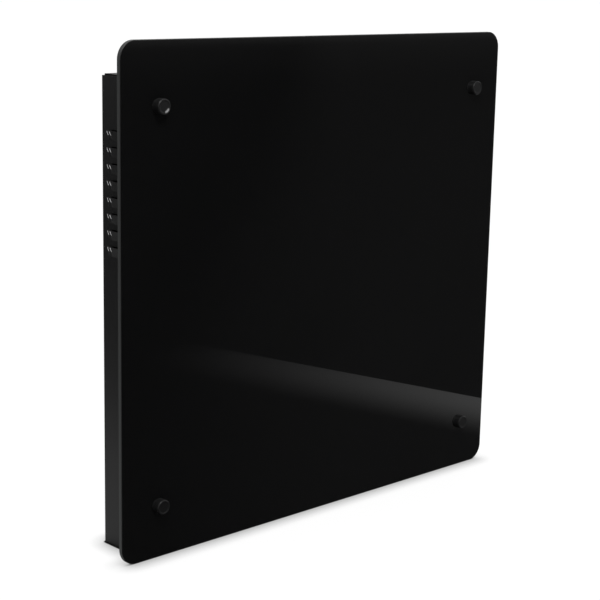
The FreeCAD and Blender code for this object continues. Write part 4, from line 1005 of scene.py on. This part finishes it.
@dataclass
class ControlPanel(SubAssembly):
    """The controls on the right side, with their printed marks."""

    # Where the panel's face and its pieces lie
    face: float = 0.2070
    depth: float = 0.003
    knob_height: float = 0.205
    knob_crown: float = 0.2226
    power_height: float = 0.152
    heat_height: float = 0.119
    rocker_axis: float = 0.2078
    rocker_crest: float = 0.0032
    rocker_tilt: float = 12.0
    # The scale around the knob, in degrees clockwise from straight up, and its ticks
    scale_start: float = -135.0
    scale_sweep: float = 270.0
    scale_ticks: int = 11
    scale_group: int = 5
    scale_radius: Point = (0.01722, 0.01806)
    tick_width: float = 0.0005
    wide_tick_width: float = 0.0011
    tick_corner: float = 0.0002
    # The ink in the knob's sunk pointer line
    pointer_sink: float = 0.0006
    pointer_fill: float = 0.00025
    pointer_span: Point = (0.0062, 0.0138)
    pointer_width: float = 0.0012
    pointer_corner: float = 0.0004
    # The marks on the rockers
    mark_reach: float = 0.0049
    bar_size: Point = (0.0007, 0.0030)
    bar_corner: float = 0.00025
    pair_offset: float = 0.0008
    ring_outer: float = 0.0016
    ring_inner: float = 0.0010
    ink_height: float = 0.00006
    ink_slot: str = "pale_plastic"
    ink: PrintedMark = PrintedMark("pad_print")
    looks: Looks = (
        (
            MouldedPlastic("spark_plastic", (0.012, 0.012, 0.0125), (0.038, 0.038, 0.039), 0.46, 1.0),
            ["control_fascia", "power_switch", "heat_switch", "thermostat_body"],
        ),
        (
            MouldedPlastic("knob_plastic", (0.012, 0.012, 0.0125), (0.045, 0.045, 0.046), 0.36, 0.6),
            ["thermostat_knob"],
        ),
        (
            MouldedPlastic("rocker_plastic", (0.012, 0.012, 0.012), (0.05, 0.05, 0.05), 0.16, 0.05),
            ["power_rocker", "heat_rocker"],
        ),
        (
            BareMetal("bright_steel", (0.62, 0.61, 0.59), (0.46, 0.45, 0.42), 0.24, Grain.ALONG_X),
            ["thermostat_nut", "thermostat_shaft"],
        ),
        (LampLens("amber_lens"), ["indicator_lamp"]),
    )

    def build(self) -> None:
        """Print the dial's scale, the knob's pointer and the marks of both rockers."""
        one_bar = [self.bar(0.0)]
        two_bars = [self.bar(-self.pair_offset), self.bar(self.pair_offset)]
        ring = ring_outlines(self.ring_outer, self.ring_inner)
        upper, lower = RockerHalf.UPPER, RockerHalf.LOWER
        self.print_on(self.dial_scale(), "casing")
        self.print_on(self.pointer(), "knob")
        self.print_on(self.rocker_mark("power_on_mark", one_bar, self.power_height, upper), "power_lever")
        self.print_on(self.rocker_mark("power_off_mark", ring, self.power_height, lower), "power_lever")
        self.print_on(self.rocker_mark("high_heat_mark", two_bars, self.heat_height, upper), "heat_lever")
        self.print_on(self.rocker_mark("low_heat_mark", one_bar, self.heat_height, lower), "heat_lever")

    def print_on(self, mark: bpy.types.Object, body: str) -> None:
        """Ink a mark and let it ride on a body."""
        self.add(mark, self.ink, body, self.ink_slot)

    def on_side(self, out: float, height: float) -> Matrix:
        """A drawing plane on the right side: first axis to the rear, second up, third outward."""
        turn = Matrix(((0.0, 0.0, 1.0), (1.0, 0.0, 0.0), (0.0, 1.0, 0.0))).to_4x4()
        return Matrix.Translation((out, self.depth, height)) @ turn

    def bar(self, across: float) -> list[Point]:
        """An upright bar for a rocker, beside the mark's middle."""
        return rounded_bar((across, 0.0), self.bar_size, self.bar_corner)

    def dial_scale(self) -> bpy.types.Object:
        """Ticks around the knob, wider at both ends and in the middle.

        Returns:
            The ticks as one piece.
        """
        inner, outer = self.scale_radius
        middle = (0.0, (inner + outer) / 2)
        outlines = []
        for index in range(self.scale_ticks):
            width = self.tick_width if index % self.scale_group else self.wide_tick_width
            tick = rounded_bar(middle, (width, outer - inner), self.tick_corner)
            angle = self.scale_start + self.scale_sweep * index / (self.scale_ticks - 1)
            outlines.append(turned_outline(tick, -math.radians(angle)))
        return prism("dial_scale", outlines, self.ink_height, self.on_side(self.face, self.knob_height))

    def pointer(self) -> bpy.types.Object:
        """The ink in the knob's sunk pointer line, where the scale starts.

        Returns:
            The pointer.
        """
        start, end = self.pointer_span
        size = (self.pointer_width, end - start)
        line = rounded_bar((0.0, (start + end) / 2), size, self.pointer_corner)
        outline = turned_outline(line, -math.radians(self.scale_start))
        floor = self.knob_crown - self.pointer_sink
        return prism("knob_pointer", [outline], self.pointer_fill, self.on_side(floor, self.knob_height))

    def rocker_mark(
        self,
        name: str,
        outlines: Iterable[Outline],
        height: float,
        half: RockerHalf,
    ) -> bpy.types.Object:
        """A mark on one sloping half of a rocker.

        Args:
            name: The mark's name.
            outlines: Its outlines about its own middle.
            height: The rocker's axis along Z.
            half: The half that carries it.

        Returns:
            The mark.
        """
        tilt = math.radians(self.rocker_tilt)
        rest = Matrix.Translation((self.rocker_axis, 0.0, height)) @ Matrix.Rotation(tilt, 4, "Y")
        slope = Matrix.Rotation(half.value * tilt, 4, "Y")
        crest = Matrix.Translation((self.rocker_crest, 0.0, 0.0)) @ slope
        plane = self.on_side(0.0, half.value * self.mark_reach)
        return prism(name, outlines, self.ink_height, rest @ crest @ plane)


# Studio

@dataclass(frozen=True)
class Softbox:
    """A square area lamp aimed at a point."""

    name: str
    place: Place
    aim: Place
    width: float
    watts: float

    def build(self) -> None:
        """Hang the lamp, out of the camera's sight."""
        lamp = bpy.data.lights.new(self.name, "AREA")
        lamp.size = self.width
        lamp.energy = self.watts
        holder = bpy.data.objects.new(self.name, lamp)
        bpy.context.scene.collection.objects.link(holder)
        holder.location = self.place
        heading = Vector(self.aim) - Vector(self.place)
        holder.rotation_euler = heading.to_track_quat("-Z", "Y").to_euler()
        holder.visible_camera = False


@dataclass(frozen=True)
class Viewpoint:
    """The camera of the photograph, with its angles in degrees and its lens in millimetres."""

    place: Place = (-0.962, -0.996, 0.4905)
    heading: float = 43.99
    tilt: float = 12.21
    roll: float = 1.178
    lens: float = 92.6
    sensor: float = 36.0

    def build(self) -> None:
        """Set the camera up."""
        data = bpy.data.cameras.new("camera")
        data.lens = self.lens
        data.sensor_width = self.sensor
        camera = bpy.data.objects.new("camera", data)
        bpy.context.scene.collection.objects.link(camera)
        turn = Matrix.Rotation(math.radians(-self.heading), 4, "Z")
        lean = Matrix.Rotation(math.radians(90.0 - self.tilt), 4, "X")
        roll = Matrix.Rotation(math.radians(self.roll), 4, "Z")
        camera.matrix_world = Matrix.Translation(self.place) @ turn @ lean @ roll
        bpy.context.scene.camera = camera


def grey(tone: float) -> Colour:
    """A neutral colour of that tone."""
    return (tone, tone, tone)


@dataclass
class Studio:
    """Pale floor, dark card in front of the glass, soft lamps and white surroundings."""

    key: Softbox = Softbox("key_box", (-0.55, -0.75, 1.35), (-0.05, 0.0, 0.25), width=0.45, watts=9.0)
    top: Softbox = Softbox("top_box", (0.4, 0.5, 2.0), (0.0, 0.0, 0.2), width=1.6, watts=18.0)
    ambient: float = 0.50
    # The floor: its colour in the light, what the camera sees of it, and the painted shade that darkens it
    # close to the heater
    floor_half: float = 40.0
    floor_tone: float = 0.80
    seen_tone: float = 0.16
    near_glow: float = 0.90
    far_glow: float = 0.95
    glow_reach: Point = (0.7, 3.0)
    painted_contact_reach: float = 0.020
    painted_seam_reach: float = 0.0026
    painted_seam_fade: Point = (0.97, 0.72)
    painted_seam_front: float = -0.026
    shade_samples: int = 16
    # The card: its place, and its tones from left to right and from near to far
    card_half: float = 16.0
    card_front: float = -0.0322
    card_left: float = -0.40
    card_height: float = 0.0003
    card_left_tone: float = 0.012
    card_right_tone: float = 0.050
    card_turn: Point = (-0.44, 0.05)
    veil_tone: float = 0.035
    veil_fade: Point = (-3.4, -6.8)
    card_far_tone: float = 0.30
    card_fade: Point = (-6.0, -8.2)
    # The pale strip on the card, which is the table's edge that the glass mirrors
    strip_near: Point = (0.402, -0.177)
    strip_far: Point = (0.311, -0.594)
    strip_fade: Point = (0.145, 0.012)
    strip_reach: Point = (0.46, -0.10)
    strip_tone: float = 0.595

    def build(self) -> None:
        """Build the stage, the world and the lamps."""
        self.floor()
        self.card()
        self.world()
        self.key.build()
        self.top.build()

    def sheet(self, name: str, boxes: Sequence[tuple[Point, Point]], height: float) -> bpy.types.Object:
        """A flat stage piece of one or more rectangles.

        Args:
            name: Its name.
            boxes: The lowest and highest corner of each rectangle.
            height: How high it lies.

        Returns:
            The piece.
        """
        places = []
        for (left, front), (right, rear) in boxes:
            outline = ((left, front), (right, front), (right, rear), (left, rear))
            places.extend((*corner, height) for corner in outline)
        faces = [range(first, first + 4) for first in range(0, len(places), 4)]
        mesh = bpy.data.meshes.new(name)
        mesh.from_pydata(places, [], faces)
        piece = bpy.data.objects.new(name, mesh)
        bpy.context.scene.collection.objects.link(piece)
        return piece

    def seen(self, tree: ShaderTree) -> Socket:
        """One for what the camera, a reflection or a clear piece sees, and nought for light."""
        path = tree.node("ShaderNodeLightPath")
        return path["Is Camera Ray"].larger(path["Is Glossy Ray"]).larger(path["Is Transmission Ray"])

    def openness(self, tree: ShaderTree, reach: float) -> Socket:
        """One on open floor, and about a half at the foot of a wall, counting what is within reach."""
        settings = {"samples": self.shade_samples}
        return tree.node("ShaderNodeAmbientOcclusion", settings, {"Distance": reach})["AO"]

    def floor(self) -> None:
        """A pale floor that is white where it is seen and keeps its shadows, with painted contact shade
        near the heater.
        """
        half = self.floor_half
        piece = self.sheet("floor", [((-half, -half), (half, half))], 0.0)
        made = bpy.data.materials.new("pale_floor")
        tree = ShaderTree(made)
        place = tree.place()
        _, along, _ = tree.parts(place)
        away = tree.dot(place, place).root().between(*self.glow_reach)
        # Painted shade: occlusion darkens the floor's seen colour and glow near the heater, and a tight
        # painted dark line runs along the foot behind the glass
        painted_seam_shade = (along > self.painted_seam_front) * self.openness(tree, self.painted_seam_reach).between(*self.painted_seam_fade)
        open_share = self.openness(tree, self.painted_contact_reach) * (1 - painted_seam_shade)
        shaded = tree.mix(open_share, BLACK, grey(self.seen_tone))
        glowing = tree.mix(away, grey(self.near_glow), grey(self.far_glow))
        lit = tree.mix(open_share, BLACK, glowing)
        matt = tree.node("ShaderNodeBsdfDiffuse", None, {"Color": grey(self.floor_tone)})["BSDF"]
        shadow = tree.node("ShaderNodeBsdfDiffuse", None, {"Color": shaded})["BSDF"]
        glow = tree.node("ShaderNodeEmission", None, {"Color": lit})["Emission"]
        both = tree.node("ShaderNodeAddShader", None, {0: shadow, 1: glow})["Shader"]
        shown = tree.node("ShaderNodeMixShader", None, {0: self.seen(tree), 1: matt, 2: both})["Shader"]
        tree.node("ShaderNodeOutputMaterial", None, {"Surface": shown})
        piece.data.materials.append(made)

    def card(self) -> None:
        """A dark card in front of the glass and to its left, which only reflections see."""
        half = self.card_half
        front_box = ((-half, -half), (half, self.card_front))
        left_box = ((-half, self.card_front), (self.card_left, half))
        piece = self.sheet("table_card", [front_box, left_box], self.card_height)
        piece.visible_camera = False
        piece.visible_diffuse = False
        piece.visible_shadow = False
        piece.visible_transmission = False
        made = bpy.data.materials.new("dark_card")
        tree = ShaderTree(made)
        colour = tree.mix(self.card_tone(tree), BLACK, WHITE)
        glow = tree.node("ShaderNodeEmission", None, {"Color": colour})["Emission"]
        tree.node("ShaderNodeOutputMaterial", None, {"Surface": glow})
        piece.data.materials.append(made)

    def card_tone(self, tree: ShaderTree) -> Socket:
        """How pale the card is: darkest on the left, paler to the right and far away, with one strip.

        Args:
            tree: The card's nodes.

        Returns:
            The tone, from nought to one.
        """
        across, along, _ = tree.parts(tree.place())
        rightward = (across + along).between(*self.card_turn)
        sides = self.card_left_tone + (self.card_right_tone - self.card_left_tone) * rightward
        near = sides + self.veil_tone * along.between(*self.veil_fade)
        away = along.between(*self.card_fade)
        return near + (self.card_far_tone - near) * away + self.strip_tone * self.strip(across, along)

    def strip(self, across: Socket, along: Socket) -> Socket:
        """A mask of the pale strip: sharp along one line, and fading away from it and along it.

        Args:
            across: The card's points along X.
            along: The card's points along Y.

        Returns:
            The mask.
        """
        edge = (Vector(self.strip_far) - Vector(self.strip_near)).normalized()
        side = abs(across) - self.strip_near[0]
        front = along - self.strip_near[1]
        from_near = side * edge.x + front * edge.y
        beside = side * edge.y - front * edge.x
        inside = (beside > 0.0) * beside.between(*self.strip_fade)
        return inside * from_near.between(*self.strip_reach)

    def world(self) -> None:
        """White surroundings for what is seen, and an even soft light."""
        made = bpy.data.worlds.new("studio")
        bpy.context.scene.world = made
        tree = ShaderTree(made)
        soft = tree.node("ShaderNodeBackground", None, {"Strength": self.ambient})["Background"]
        white = tree.node("ShaderNodeBackground", None, {"Color": WHITE})["Background"]
        shown = tree.node("ShaderNodeMixShader", None, {0: self.seen(tree), 1: soft, 2: white})["Shader"]
        tree.node("ShaderNodeOutputWorld", None, {"Surface": shown})


def write_sizes() -> None:
    """Only bring the view layer up to date.
    """
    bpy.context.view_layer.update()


def main() -> None:
    """Load the heater, dress it and set it in the studio."""
    logging.basicConfig(level=logging.INFO, format="%(name)s: %(message)s")
    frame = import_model()
    Viewpoint().build()
    GlassFront(frame).dress()
    Casing(frame).dress()
    HeatingCore(frame).dress()
    Wiring(frame).dress()
    controls = ControlPanel(frame)
    controls.dress()
    controls.build()
    Studio().build()
    bpy.context.scene.view_settings.view_transform = "Standard"
    write_sizes()


if __name__ == "__main__":
    main()
